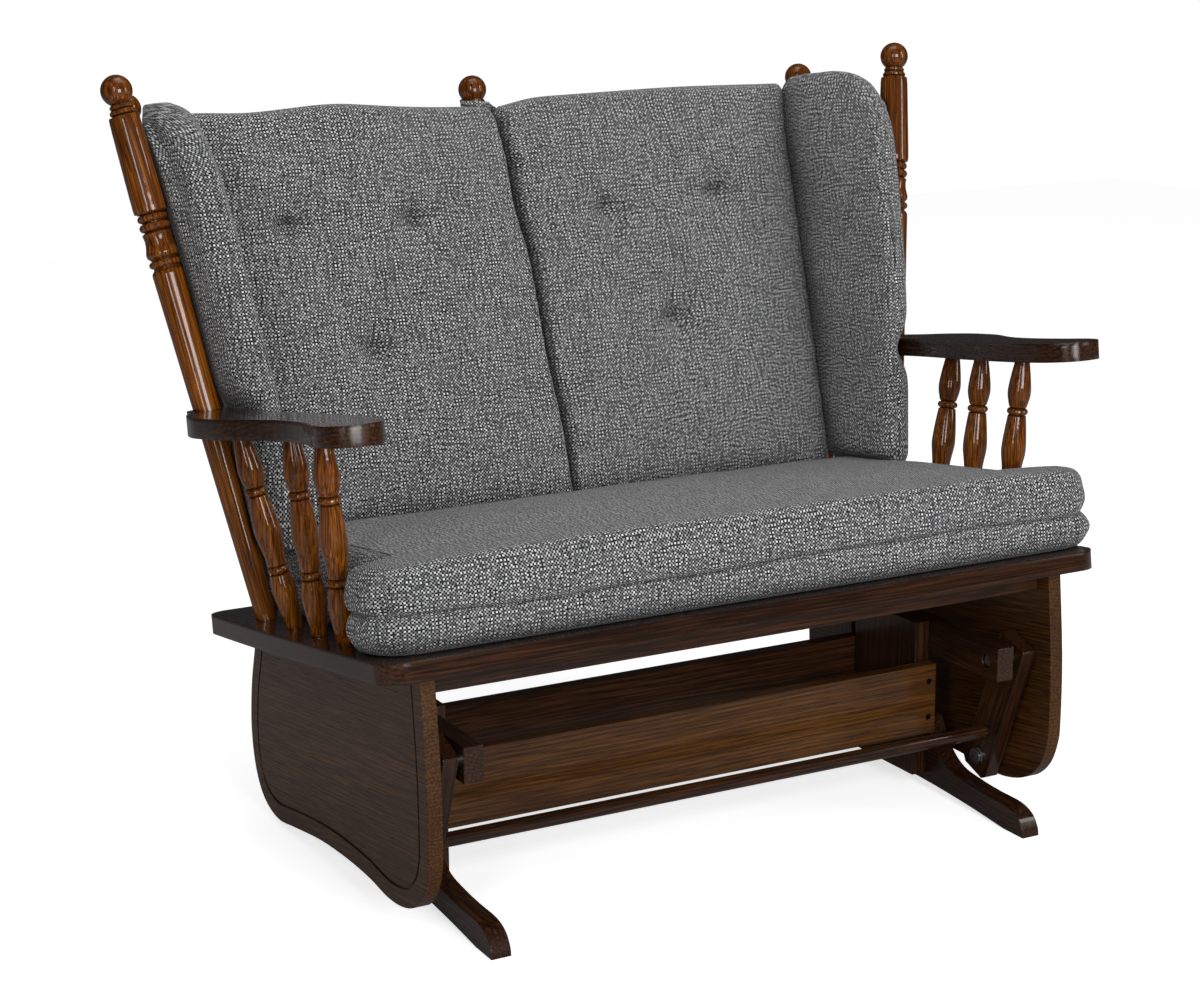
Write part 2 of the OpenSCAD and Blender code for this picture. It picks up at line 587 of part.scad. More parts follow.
// Back cushions lie on the plane of the centre and inner posts
function post_y(x, h) = let (i = at_height(inner_foot, inner_head, h))
    blend(at_height(centre_foot, centre_head, h)[1], i[1], x / i[0]);
function pad_back(x, h) = post_y(x, h) - blend(post_foot_r + 1.5, barrel_r + soft_gap, min(h / 480, 1));
function pad_front(x, h) = let (t = h / back_cushion_top) pad_back(x, h)
    - blend(back_cushion_low, back_cushion_high, t) + 14 * t * x / cushion_half;
function crease_x(h) = let (t = max(0, h / back_cushion_top - 0.84))
    cushion_half - 32 + 35 * h / back_cushion_top + 350 * t * t;
tufts = [[0.31, 538], [0.72, 538], [0.51, 352]];
function sum_of(v) = v * [for (x = v) 1];
function tuft(x, h, w) = sum_of([for (t = tufts) let (dx = x - t[0] * w, dh = h - t[1])
    exp(-(dx * dx + dh * dh) / 1900)]);
function round_end(t) = t >= 1 ? 1 : sqrt(1 - (1 - t) * (1 - t));
pad_low = side_gap;
back_rows = concat([for (h = [0, 2, 8, 20, 42]) pad_low + h],
    [for (i = [1 : 17]) blend(50, back_cushion_top - 40, i / 17)],
    [for (d = [22, 10, 3, 0]) back_cushion_top - d]);
// The top edge dips a little at the split between the cushions
function dip(x, h) = 12 * exp(-x * x / 3600) * ease((h - back_cushion_top + 110) / 110);
module back_cushion(side) color(tweed) seat_space() on_side(side) loft([for (h = back_rows) let (
    w = crease_x(h) - soft_gap, edge = 0.3 + 0.7 * round_end(min(h - pad_low, back_cushion_top - h) / 34),
    crown = back_cushion_crown * ease((h - 60) / 160) * ease((back_cushion_top - h) / 110))
    concat([for (i = [0 : 22]) let (t = 1 - i / 11, x = soft_gap + (w - soft_gap) * (t + 1) / 2,
            a = pad_back(x, h), b = pad_front(x, h), m = (a + b) / 2)
            [x, m - (a - b) / 2 * edge * (0.4 + 0.6 * sqrt(spread(t))) - crown * spread(t)
                + tuft_depth * tuft(x, h, w), h - dip(x, h)]],
        [for (i = [0 : 7]) let (t = i / 3.5 - 1, x = soft_gap + (w - soft_gap) * (t + 1) / 2,
            a = pad_back(x, h), b = pad_front(x, h), m = (a + b) / 2)
            [x, m + (a - b) / 2 * edge * (0.7 + 0.3 * spread(t)), h - dip(x, h)]])]);

// Wing cushions fill the space between the wing and inner posts and the crease beside the back
// cushion, stand out ahead of the wing post, and are pressed in where the arm passes them
function press(h) = exp(-pow((h - arm_height - arm_thick / 2) / 45, 2));
function round_front(h) = let (r = 120, d = wing_cushion_top - h)
    d >= r ? 0 : r - sqrt(r * r - (r - d) * (r - d));
wing_thick = 60;
side_room = barrel_r + 1.5;   // from a wing post's axis to the cushion beside it
// One level of a wing cushion: x is the crease beside the back cushion, f and g are its front
// corners, and side(y) keeps it inside the line between the two posts
function wing_plan(h) = let (x = crease_x(h) + soft_gap, y = pad_front(x, h), t = (h - 330) / 100,
    w = at_height(wing_foot, wing_head, h), i = at_height(inner_foot, inner_head, h), k = press(h),
    back = i[1] - barrel_r - 3 - 14 * ease((h - wing_cushion_top + 50) / 50),
    side = function (y) blend(w[0], i[0], (y - w[1]) / (i[1] - w[1])) - barrel_r + 1,
    f = [w[0] - 66 - 0.045 * h, w[1] - 86 + 2.45 * t * t + round_front(h)],
    g = f + [wing_thick - 19 * k, 25], middle = max(w[1], g[1] + 24))
    closed_curve([[side(back), back - 8], [min(side(middle), w[0] - side_room) - 16 * k, middle],
        g + [-2, 10], g + [-16, -14], [f[0] + 16, f[1] - 6], [f[0] - 2, f[1] + 14],
        [x - 6, blend(y, f[1], 0.4)], [x, y + 6], [x + 3, back]], 3);
wing_rows = concat([for (t = [0, 2, 8, 20]) wing_cushion_bottom + t],
    [for (i = [1 : 16]) blend(wing_cushion_bottom + 20, wing_cushion_top - 50, i / 16)],
    [for (d = [34, 20, 9, 3, 0]) wing_cushion_top - d]);
module wing_cushion(side) color(tweed) seat_space() on_side(side) loft([for (h = wing_rows) let (
    edge = 0.3 + 0.7 * round_end(min(h - wing_cushion_bottom, wing_cushion_top - h) / 26),
    plan = wing_plan(h), n = len(plan), x = sum_of([for (p = plan) p[0]]) / n)
    [for (p = plan) [x + (p[0] - x) * edge, p[1], h]]]);

foot("right");  // right_foot
foot("left");  // left_foot
upright("right");  // right_upright
upright("left");  // left_upright
rail("right");  // right_rail
rail("left");  // left_rail
board(-1);  // front_board
board(1);  // rear_board
board_screws();
upper_bolts();
upper_spacers();
link("right", front_top, front_lean);  // front_right_link
link("left", front_top, front_lean);  // front_left_link
rod(front_top, front_lean);  // front_rod
bushings(front_top, front_low, bolt_d / 2 + run_gap);  // front_bushings
link("right", rear_top, -rear_lean);  // rear_right_link
link("left", rear_top, -rear_lean);  // rear_left_link
rod(rear_top, -rear_lean);  // rear_rod
bushings(rear_top, rear_low, bolt_d / 2 + rear_play);  // rear_bushings
seat_board();
front_apron();
cleat("right");  // right_cleat
cleat("left");  // left_cleat
panel("right");  // right_panel
panel("left");  // left_panel
lower_bolts();
lower_spacers();
on_side("right") wing_post();  // right_wing_post
wing_post();  // left_wing_post
on_side("right") inner_post();  // right_inner_post
inner_post();  // left_inner_post
centre_post();
rungs("right", back_rungs);  // right_back_rungs
rungs("left", back_rungs);  // left_back_rungs
rungs("right", wing_rungs);  // right_wing_rungs
rungs("left", wing_rungs);  // left_wing_rungs
arm("right");  // right_arm
arm("left");  // left_arm
spindle("right", 0);  // right_front_spindle
spindle("right", 1);  // right_middle_spindle
spindle("right", 2);  // right_rear_spindle
spindle("left", 0);  // left_front_spindle
spindle("left", 1);  // left_middle_spindle
spindle("left", 2);  // left_rear_spindle
seat_cushion();
back_cushion("right");  // right_back_cushion
back_cushion("left");  // left_back_cushion
wing_cushion("right");  // right_wing_cushion
wing_cushion("left");  // left_wing_cushion
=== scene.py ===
"""Looks for the loveseat glider: tweed cushions worked out with numpy, stained and lacquered oak,
steel hardware, a white studio and the photograph's camera. Lengths are in metres."""
import math

import bpy
import numpy as np
from mathutils import Matrix, Vector


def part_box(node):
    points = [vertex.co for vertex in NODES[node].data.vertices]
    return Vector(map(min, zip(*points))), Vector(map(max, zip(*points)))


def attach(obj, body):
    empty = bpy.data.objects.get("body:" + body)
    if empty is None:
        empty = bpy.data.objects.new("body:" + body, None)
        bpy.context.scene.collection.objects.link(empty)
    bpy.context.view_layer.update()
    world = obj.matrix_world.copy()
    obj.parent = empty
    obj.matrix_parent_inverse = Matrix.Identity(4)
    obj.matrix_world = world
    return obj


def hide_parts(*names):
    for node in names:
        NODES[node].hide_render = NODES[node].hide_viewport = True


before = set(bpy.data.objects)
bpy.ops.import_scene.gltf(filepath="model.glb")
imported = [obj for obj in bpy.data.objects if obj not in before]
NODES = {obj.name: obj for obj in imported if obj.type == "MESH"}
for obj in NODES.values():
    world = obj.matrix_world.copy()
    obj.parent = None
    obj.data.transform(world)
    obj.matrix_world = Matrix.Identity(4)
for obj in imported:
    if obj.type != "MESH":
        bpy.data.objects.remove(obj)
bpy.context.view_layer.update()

# The seat's own frame: x to the sitter's left, y back along the seat board, h square to it
SLOPE = math.radians(7.9)
SEAT_ORIGIN = np.array([0.0, -0.437222, 0.399])
SIDES = {"left": 1.0, "right": -1.0}


def from_seat(x, y, h):
    """Points of the seat's frame in the row frame: turned by the seat's slope about X, then moved."""
    x, y, h = np.broadcast_arrays(x, y, h)
    return np.stack([
        SEAT_ORIGIN[0] + x,
        SEAT_ORIGIN[1] + y * math.cos(SLOPE) + h * math.sin(SLOPE),
        SEAT_ORIGIN[2] - y * math.sin(SLOPE) + h * math.cos(SLOPE)], axis=-1)


def ease(t):
    """Goes smoothly from 0 at t = 0 to 1 at t = 1: 3t² - 2t³."""
    t = np.clip(t, 0, 1)
    return t * t * (3 - 2 * t)


def bump(d, width):
    """A bell curve, 1 at d = 0: exp(-(d / width)²)."""
    return np.exp(-(d / width) ** 2)


def rounded(d, r):
    """A quarter circle: 0 at the edge (d = 0), 1 from d = r on."""
    return np.sqrt(np.clip(1 - (1 - np.clip(d / r, 0, 1)) ** 2, 0, 1))


# ---- posts, as lines in the seat's frame ----

WING_POST = (np.array([0.528, 0.480, 0.0]), np.array([0.644, 0.565, 0.73916]))
INNER_POST = (np.array([0.486, 0.585, 0.0]), np.array([0.576, 0.746, 0.72384]))
CENTRE_POST = (np.array([0.0, 0.585, 0.0]), np.array([0.0, 0.793, 0.73098]))
POST_TOP_R = 0.0235
POST_FOOT_R = 0.014
# the height at which they are as thick as at their tops
POST_TAPER = 0.480


def on_post(post, h):
    """The point of a post's axis at height h over the seat board, as (x, y)."""
    foot, head = post
    t = h / head[2]
    return foot[0] + (head[0] - foot[0]) * t, foot[1] + (head[1] - foot[1]) * t


# ---- mesh making ----

def make_mesh(name, points, quads, uvs, fans=None, fan_uvs=None):
    """A smooth mesh from points and the corner numbers of its faces, turned so that they point
    outwards. uvs holds each corner's place on the flat cloth."""
    faces, places = [quads], [uvs]
    if fans is not None:
        faces.append(fans)
        places.append(fan_uvs)
    if sum(signed_volume(points, f) for f in faces) < 0:
        faces = [f[:, ::-1] for f in faces]
        places = [u[:, ::-1] for u in places]
    mesh = bpy.data.meshes.new(name)
    mesh.from_pydata(points.tolist(), [], [row for f in faces for row in f.tolist()])
    mesh.polygons.foreach_set("use_smooth", np.ones(len(mesh.polygons), bool))
    flat = np.concatenate([u.reshape(-1, 2) for u in places])
    mesh.uv_layers.new(name="weave").data.foreach_set("uv", flat.astype(np.float32).ravel())
    mesh.update()
    made = bpy.data.objects.new(name, mesh)
    bpy.context.scene.collection.objects.link(made)
    return made


def signed_volume(points, faces):
    """Six times the volume under the faces: each is a fan of triangles with the origin as apex."""
    a = points[faces[:, 0]]
    total = 0.0
    for k in range(1, faces.shape[1] - 1):
        total += float(np.einsum("ij,ij->", a, np.cross(points[faces[:, k]], points[faces[:, k + 1]])))
    return total


def grid_faces(rows, columns, closed=False):
    """Corner numbers of the quads of a rows × columns grid of points, joined round if closed."""
    last = columns if closed else columns - 1
    i, j = np.meshgrid(np.arange(rows - 1), np.arange(last), indexing="ij")
    k = (j + 1) % columns
    near, far = i * columns, (i + 1) * columns
    return np.stack([near + j, near + k, far + k, far + j], -1).reshape(-1, 4)


def end_fans(rows, columns):
    """The triangles that close both ends of a grid joined round. Each end's middle is a point that
    comes after the grid's own."""
    j = np.arange(columns)
    k = (j + 1) % columns
    last = (rows - 1) * columns
    first_middle = np.full(columns, rows * columns)
    return np.concatenate([np.stack([first_middle, k, j], -1),
                           np.stack([first_middle + 1, last + j, last + k], -1)])


def grid_uv(across, along):
    """The flat cloth's coordinates of a closed grid's quads, in the order of grid_faces, from those
    of its points. across and along broadcast to a column for each point round and one more, where
    the cloth comes round to its first point again."""
    flat = np.stack(np.broadcast_arrays(across, along), -1)
    return np.stack([flat[:-1, :-1], flat[:-1, 1:], flat[1:, 1:], flat[1:, :-1]], 2).reshape(-1, 4, 2)


def coons(front, right, back, left):
    """Fills a four-sided outline: the blend of its opposite edges less the blend of its corners.
    front and back run the same way, and so do left and right."""
    u = np.linspace(0, 1, len(front))[None, :, None]
    v = np.linspace(0, 1, len(left))[:, None, None]
    edges = (1 - v) * front[None] + v * back[None] + (1 - u) * left[:, None] + u * right[:, None]
    corners = ((1 - u) * (1 - v) * front[0] + u * (1 - v) * front[-1]
               + (1 - u) * v * back[0] + u * v * back[-1])
    return edges - corners


def resample(points, n):
    """n + 1 points at equal distances along a line of points."""
    s = np.concatenate([[0], np.cumsum(np.linalg.norm(np.diff(points, axis=0), axis=1))])
    t = np.linspace(0, s[-1], n + 1)
    return np.stack([np.interp(t, s, points[:, c]) for c in range(points.shape[1])], -1)


def padded_box(edges, counts, inset, levels, square=0.8):
    """The grid of a boxed cushion in its own plan (a, b) and depth t, where t = 1 is the face and
    t = -1 the underside. Face and underside fill the outline drawn in by inset, and between them
    the sides follow half a superellipse: a and b reach the outline at t = 0. The lower the power
    square, the flatter they are.
    Returns plan points, depths, quads and the rings of point numbers down the sides."""
    front, right, back, left = [resample(e, n) for e, n in zip(edges, counts)]
    ring = np.concatenate([front[:-1], right[:-1], back[::-1][:-1], left[::-1][:-1]])
    n, shells = len(ring), len(levels) - 2
    smooth = sum(np.roll(ring, k, axis=0) for k in range(-2, 3)) / 5
    along = np.roll(smooth, -1, axis=0) - np.roll(smooth, 1, axis=0)
    normal = np.stack([along[:, 1], -along[:, 0]], -1)
    normal /= np.linalg.norm(normal, axis=1)[:, None]
    inner = ring - normal * inset
    a, b, c = counts[0], counts[0] + counts[1], 2 * counts[0] + counts[1]
    closed = np.concatenate([inner, inner[:1]])
    face = coons(closed[:a + 1], closed[a:b + 1], closed[b:c + 1][::-1], closed[c:][::-1])
    rows, columns = face.shape[:2]
    number = np.arange(rows * columns).reshape(rows, columns)
    rim = np.concatenate([number[0, :-1], number[:-1, -1], number[-1, ::-1][:-1], number[::-1, 0][:-1]])
    turn = np.pi / 2 * (1 - 2 * levels[1:-1])
    reach = inset * np.abs(np.cos(turn)) ** square
    side = inner[None] + normal[None] * reach[:, None, None]
    plan = np.concatenate([face.reshape(-1, 2), side.reshape(-1, 2), face.reshape(-1, 2)])
    m = rows * columns
    depth = np.concatenate([np.ones(m), np.repeat(np.sin(turn), n), -np.ones(m)])
    under = m + shells * n
    rings = np.concatenate([rim[None], m + np.arange(shells * n).reshape(shells, n), rim[None] + under])
    k = np.roll(rings, -1, axis=1)
    sides = np.stack([rings[:-1], rings[1:], k[1:], k[:-1]], -1).reshape(-1, 4)
    top = grid_faces(rows, columns)
    quads = np.concatenate([top, sides, top[:, ::-1] + under])
    return plan, depth, quads, rings


def cloth_uv(points, plan, quads, rings, start):
    """Each corner's place on the flat cloth: the plan on the face and underside, and on the sides
    the distance round the outline and down the side."""
    flat = plan[quads]
    ring_points = points[rings]
    middle = ring_points[len(rings) // 2]
    step = np.linalg.norm(np.roll(middle, -1, axis=0) - middle, axis=1)
    along = start + np.concatenate([[0], np.cumsum(step)])
    drop = np.linalg.norm(np.diff(ring_points, axis=0), axis=2).mean(axis=1)
    down = plan[rings[0, 0], 1] - np.concatenate([[0], np.cumsum(drop)])
    # the sides' quads name their corners the other way round than a grid's
    sides = grid_uv(along, down[:, None])[:, [0, 3, 2, 1]]
    first = (len(quads) - len(sides)) // 2
    flat[first:first + len(sides)] = sides
    return flat


def seam_noise(x, y, seed, reach):
    """Slow waves over a face, in -1..1: five sine waves of different length and direction."""
    rng = np.random.default_rng(seed)
    total = 0
    for _ in range(5):
        a = rng.uniform(0, 2 * np.pi)
        f = 2 * np.pi / (reach * rng.uniform(0.5, 1.6))
        total = total + np.sin(f * (x * math.cos(a) + y * math.sin(a)) + rng.uniform(0, 6.3))
    return total / 5


# ---- cushions ----

CUSHION_FRONT = 0.020
CUSHION_BACK = 0.5407
CUSHION_THICK = 0.112
CUSHION_CROWN = 0.014
CUSHION_HALF = 0.506
CORNER_R = 0.070
EAR_HALF = 0.568
EAR_LENGTH = 0.128
EAR_TURN = 0.034
SEAM_HEIGHT = 0.051
SEAM_DEPTH = 0.0075
UPPER_TUCK = 0.5475
LOWER_TUCK = 0.512
CUSHION_ASIDE = 0.007
CUSHION_LIFT = 0.0003


def cushion_width(y):
    """The seat cushion's half width at y: round front corners, then ears that end at the spindles."""
    t = y - CUSHION_FRONT
    corner = CORNER_R * (1 - rounded(t, CORNER_R))
    return EAR_HALF - corner + (CUSHION_HALF - EAR_HALF) * ease((t - EAR_LENGTH) / EAR_TURN + 1)


def make_seat_cushion():
    """A boxed cushion with ears: its face is crowned, the top panel comes down over the front to a
    sewn seam, and the boxing under the seam is flatter. It lies 7 mm to the sitter's left."""
    half, mitre = CUSHION_HALF, math.radians(45)
    start = CUSHION_FRONT + CORNER_R * (1 - math.cos(mitre))
    y_side = np.concatenate([np.linspace(start, CUSHION_FRONT + CORNER_R, 10),
                             np.linspace(CUSHION_FRONT + CORNER_R + 0.002, CUSHION_BACK - 0.012, 140)])
    side = np.stack([cushion_width(y_side), y_side], -1)
    back_corner = np.array([[half - 0.001, CUSHION_BACK - 0.006], [half - 0.004, CUSHION_BACK - 0.002]])
    side = np.concatenate([side, back_corner])
    a = np.linspace(mitre, math.pi / 2, 10)
    arc = np.stack([EAR_HALF - CORNER_R * (1 - np.cos(a)),
                    CUSHION_FRONT + CORNER_R * (1 - np.sin(a))], -1)
    front = np.concatenate([arc * [-1, 1], arc[::-1]])
    back = np.array([[-half + 0.004, CUSHION_BACK - 0.002], [-half + 0.010, CUSHION_BACK],
                     [half - 0.010, CUSHION_BACK], [half - 0.004, CUSHION_BACK - 0.002]])
    # the rings lie closest where the seam runs
    levels = np.concatenate([np.linspace(0, 0.48, 15, endpoint=False),
                             np.linspace(0.48, 0.60, 19, endpoint=False), np.linspace(0.60, 1, 13)])
    plan, depth, quads, rings = padded_box(
        [front, side, back, side * [-1, 1]], [240, 84, 240, 84], 0.030, levels, 0.5)
    x, y = plan[:, 0], plan[:, 1]
    across = np.clip(np.abs(x) / cushion_width(np.clip(y, CUSHION_FRONT + 0.01, CUSHION_BACK)), 0, 1)
    rear = np.clip((y - 0.12) / 0.4, 0, 1)
    crown = CUSHION_CROWN * (1 - across ** 4) * (0.5 + 0.5 * (1 - np.abs(2 * rear - 0.8) ** 2))
    z = (1 + depth) * CUSHION_THICK / 2 + CUSHION_LIFT
    waves = seam_noise(x, y, 4, 0.34) * 0.0022 + seam_noise(x, y, 9, 0.12) * 0.0007
    z = z + np.where(depth > 0.75, (depth - 0.75) * 4 * (crown + waves - 0.002), 0)
    # the seam is a valley between the top panel and the boxing, and the boxing swells below it
    on_side = np.abs(depth) < 0.999
    centre = np.stack([np.clip(x, -0.47, 0.47), np.clip(y, CUSHION_FRONT + 0.09, 0.47)], -1)
    away = plan - centre
    away /= np.maximum(np.linalg.norm(away, axis=1), 1e-6)[:, None]
    seam = z - SEAM_HEIGHT - 0.0025 * np.sin(x * 7.0) - 0.0012 * np.sin(x * 23.0)
    puckers = 0.0005 * np.sin(x * 2 * np.pi / 0.031 + 2 * np.sin(x * 31)) * bump(seam - 0.008, 0.012)
    valley = -SEAM_DEPTH * np.exp(-np.abs(seam) / 0.0022) - 0.0015 * bump(seam, 0.012)
    swell = 0.0012 * bump(z - 0.026, 0.016) + 0.0012 * bump(seam - 0.020, 0.016)
    # the cloth is gathered at the front corners: a short tuck above the seam and one below it
    beside = np.abs(x)
    upper_tuck = 0.0090 * np.exp(-np.abs(beside - UPPER_TUCK) / 0.0045)
    lower_tuck = 0.0045 * np.exp(-np.abs(beside - LOWER_TUCK) / 0.0022) * ease(-seam / 0.006)
    tuck = -upper_tuck * ease(seam / 0.006) * ease((0.050 - seam) / 0.02) - lower_tuck
    corner = bump(beside - UPPER_TUCK - 0.0005, 0.022) * (y < 0.12)
    tuck = np.where(y < 0.10, tuck, 0) - 0.0050 * corner * bump(seam, 0.010)
    tuck = tuck + 0.0045 * corner * bump(z - 0.028, 0.014)
    push = np.where(on_side, valley + swell + tuck + puckers, 0)
    plan = plan + away * push[:, None]
    lean = 0.17 * z * ease((y - CUSHION_BACK + 0.1) / 0.1)
    x, y = plan[:, 0], plan[:, 1]
    ear = 1 - ease((y - 0.105) / 0.040)
    spread = 0.008 * ease((-x - 0.44) / 0.12) + 0.010 * ease((x - 0.40) / 0.15)
    points = from_seat(x + CUSHION_ASIDE + spread * ear, y + lean, z)
    return make_mesh("seat_cushion_cover", points, quads, cloth_uv(points, plan, quads, rings, -0.52))


CUSHION_GAP = 0.0004
CREASE_INSET = 0.032
BACK_TOP = 0.712
BACK_LOW = 0.029
BACK_HIGH = 0.049
BACK_SWELL = 0.026
TUFT_HOLLOW = 0.0095
TUFT_PIT = 0.0200
# each tuft as (share of the width, h): no cushion is tufted quite like the other
TUFTS = {"right": [(0.365, 0.541), (0.772, 0.543), (0.573, 0.355)],
         "left": [(0.290, 0.533), (0.683, 0.549), (0.467, 0.357)]}
# how far the split lies to the sitter's left, at heights over the seat board
SPLIT_HEIGHTS = [0.11, 0.20, 0.26, 0.31, 0.36, 0.40, 0.44, 0.475, 0.50, 0.53, 0.57, 0.62, 0.68]
SPLIT_SHIFTS = [0.0150, 0.0130, 0.0105, 0.0072, 0.0080, 0.0090, 0.0097, 0.0090, 0.0060, 0.0020, 0.0008,
                0.0035, 0.0055]


def post_line(x, h):
    """How far back the plane of the centre and inner posts lies at (x, h): straight between them."""
    centre, inner = on_post(CENTRE_POST, h), on_post(INNER_POST, h)
    return centre[1] + (inner[1] - centre[1]) * x / inner[0]


def pad_back(x, h):
    """The rear faces of the back cushions: the posts' plane less the posts' radius and a gap."""
    foot, head = POST_FOOT_R + 0.0015, POST_TOP_R + CUSHION_GAP
    return post_line(x, h) - (foot + (head - foot) * np.minimum(h / POST_TAPER, 1))


def pad_front(x, h):
    """The front faces of the back cushions at their edges, where they are thinnest: before the rear
    faces by a depth that grows with the height, and less so towards the creases."""
    t = h / BACK_TOP
    return pad_back(x, h) - (BACK_LOW + (BACK_HIGH - BACK_LOW) * t) + 0.014 * t * x / CUSHION_HALF


def crease_x(h):
    """Where a back cushion meets its wing cushion: further out evenly with the height, and by a
    square near the top."""
    t = np.maximum(0, h / BACK_TOP - 0.84)
    return CUSHION_HALF - CREASE_INSET + 0.035 * h / BACK_TOP + 0.350 * t * t


def tuft_places(side):
    """The tufts of one cushion as (distance from the middle, h)."""
    return [(share * crease_x(h), h) for share, h in TUFTS[side]]


def tufting(side, x, h):
    """How far the sewn tufts pull the face back: at each a wide shallow hollow, and in it a steep
    pit, wider than it is high, that the padding above hangs over. Soft folds run out from the pits
    and between neighbours."""
    depth = 0
    for k, (tx, th) in enumerate(tuft_places(side)):
        dx, dh = x - tx, h - th
        r = np.sqrt(dx * dx + dh * dh) + 1e-6
        angle = np.arctan2(dh, dx)
        folds = np.cos(5 * angle + 1.1 * k + 0.6) * 0.6 + np.cos(8 * angle + 2.3 * k) * 0.4
        pit = bump(dx, 0.018) * np.where(dh > 0, bump(dh, 0.011), bump(dh, 0.020))
        depth = depth + TUFT_HOLLOW * bump(r, 0.052) + TUFT_PIT * pit
        depth = depth + 0.0018 * folds * bump(r - 0.030, 0.018)
        # one fold stands over the pit and two lie beside it
        depth = depth + 0.0060 * bump(dx + 0.002, 0.0045) * bump(dh - 0.024, 0.018)
        depth = depth + 0.0050 * bump(dh - 0.002 - 0.2 * dx, 0.0045) * bump(np.abs(dx) - 0.024, 0.016)
    places = tuft_places(side)
    for a, b in ((0, 1), (0, 2), (1, 2)):
        ax, ah = places[a]
        bx, bh = places[b]
        d = np.hypot(bx - ax, bh - ah)
        along = ((x - ax) * (bx - ax) + (h - ah) * (bh - ah)) / d
        off = ((x - ax) * (bh - ah) - (h - ah) * (bx - ax)) / d
        depth = depth + 0.0014 * bump(off, 0.016) * ease(along / 0.03) * ease((d - along) / 0.03)
    return depth


def split_shift(x, h, w):
    """The split between the back cushions isn't straight: it lies up to 15 mm to the sitter's left
    of the middle, wanders with the height, and the shift fades out towards the creases."""
    return np.interp(h, SPLIT_HEIGHTS, SPLIT_SHIFTS) * (1 - x / w) ** 2


def face_of_pad(side, x, h):
    """How far back a back cushion's face and middle plane lie at (x, h), half its thickness there
    without the swell, and how full it is. It is steep at the split, and falls slowly into the
    crease."""
    w = crease_x(h) - CUSHION_GAP
    inner, outer = rounded(x, 0.014), rounded(w - x, 0.030)
    a, b = pad_back(x, h), pad_front(x, h)
    edge = np.minimum(1, rounded(np.minimum(h, BACK_TOP - h), 0.034) * 0.7 + 0.3)
    half = (a - b) / 2 * edge
    swell = BACK_SWELL * ease((h - 0.060) / 0.160) * ease((BACK_TOP - h) / 0.110)
    full = (1 - 0.40 * bump(x, 0.050)) * (1 - bump(w - x, 0.055))
    front = (a + b) / 2 - half * (0.25 + 0.75 * inner * outer) - swell * full * (0.35 + 0.65 * inner)
    return front + tufting(side, x, h) * (0.4 + 0.6 * full), (a + b) / 2, half, full


def make_back_cushion(side):
    """One back cushion in its plan (x, h): the face swells between the split, the crease and the
    top, and the tufts pull it in. The rear lies on the posts."""
    gap, low, top = CUSHION_GAP, 0.0005, BACK_TOP
    h = np.linspace(low + 0.010, top - 0.012, 120)
    outer = np.stack([crease_x(h) - gap, h], -1)
    split = np.stack([np.full_like(h, gap), h], -1)
    bottom = np.array([[gap, low + 0.010], [gap + 0.004, low + 0.002], [gap + 0.012, low],
                       [crease_x(low) - 0.012, low], [crease_x(low) - 0.004, low + 0.002],
                       [crease_x(low) - gap, low + 0.010]])
    x = np.linspace(gap, crease_x(top) - gap, 60)
    fall = 0.012 * (1 - rounded(np.minimum(x - x[0], x[-1] - x), 0.012))
    upper = np.stack([x, top - fall], -1)
    levels = (1 - np.cos(np.linspace(0, np.pi, 19))) / 2
    plan, depth, quads, rings = padded_box(
        [bottom, outer, upper, split], [128, 184, 128, 184], 0.012, levels)
    x, h = plan[:, 0], plan[:, 1]
    w = crease_x(h) - gap
    front, m, half, full = face_of_pad(side, x, h)
    # the split opens towards the top, where the two cushions part
    front = front + 0.007 * ease((h - 0.36) / 0.26) * bump(x, 0.010)
    slow_seed, quick_seed = (21, 31) if side == "left" else (22, 32)
    front = front - seam_noise(x, h, slow_seed, 0.30) * 0.0024 * full
    front = front - seam_noise(x, h, quick_seed, 0.09) * 0.0008
    # short puckers where the face is gathered into the crease and the split
    gather = np.minimum(x, w - x)
    front = front + 0.0010 * np.sin(h * 2 * np.pi / 0.034 + 3 * np.sin(h * 17)) * bump(gather, 0.030)
    rear = m + half * (0.7 + 0.3 * (1 - np.clip(2 * x / w - 1, -1, 1) ** 4))
    y = (front + rear) / 2 - depth * (rear - front) / 2
    # the top edge isn't straight, and no cushion's is like the other's
    if side == "left":
        dip = 0.012 * bump(x, 0.050) - 0.004 * bump(x - 0.32, 0.16)
    else:
        dip = (0.009 * ease((0.26 - x) / 0.20) + 0.003 * bump(x, 0.040)
               - 0.0037 * bump(x - 0.27, 0.06) + 0.0036 * bump(x - 0.41, 0.06))
    dip = dip * ease((h - top + 0.110) / 0.110)
    points = from_seat(x * SIDES[side] + split_shift(x, h, w), y, h - dip)
    uv = cloth_uv(points, plan, quads, rings, 0.0)
    return make_mesh(f"{side}_back_cushion_cover", points, quads, uv)


WING_TOP = 0.724
WING_LOW = 0.118
WING_TOP_R = 0.030
WING_LOW_R = 0.020
WING_FRONT_R = 0.120
ARM_LEVEL = 0.2825
POINTS_EACH = 14


def catmull_loop(p, n):
    """A closed curve through the points p[row, k]: n points for each, by the Catmull-Rom formula."""
    a, b, c, d = (np.roll(p, k, axis=1)[:, :, None] for k in (1, 0, -1, -2))
    t = np.linspace(0, 1, n, endpoint=False)[None, None, :, None]
    square, cube = 2 * a - 5 * b + 4 * c - d, 3 * b - a - 3 * c + d
    curve = 0.5 * (2 * b + (c - a) * t + square * t ** 2 + cube * t ** 3)
    return curve.reshape(len(p), -1, 2)


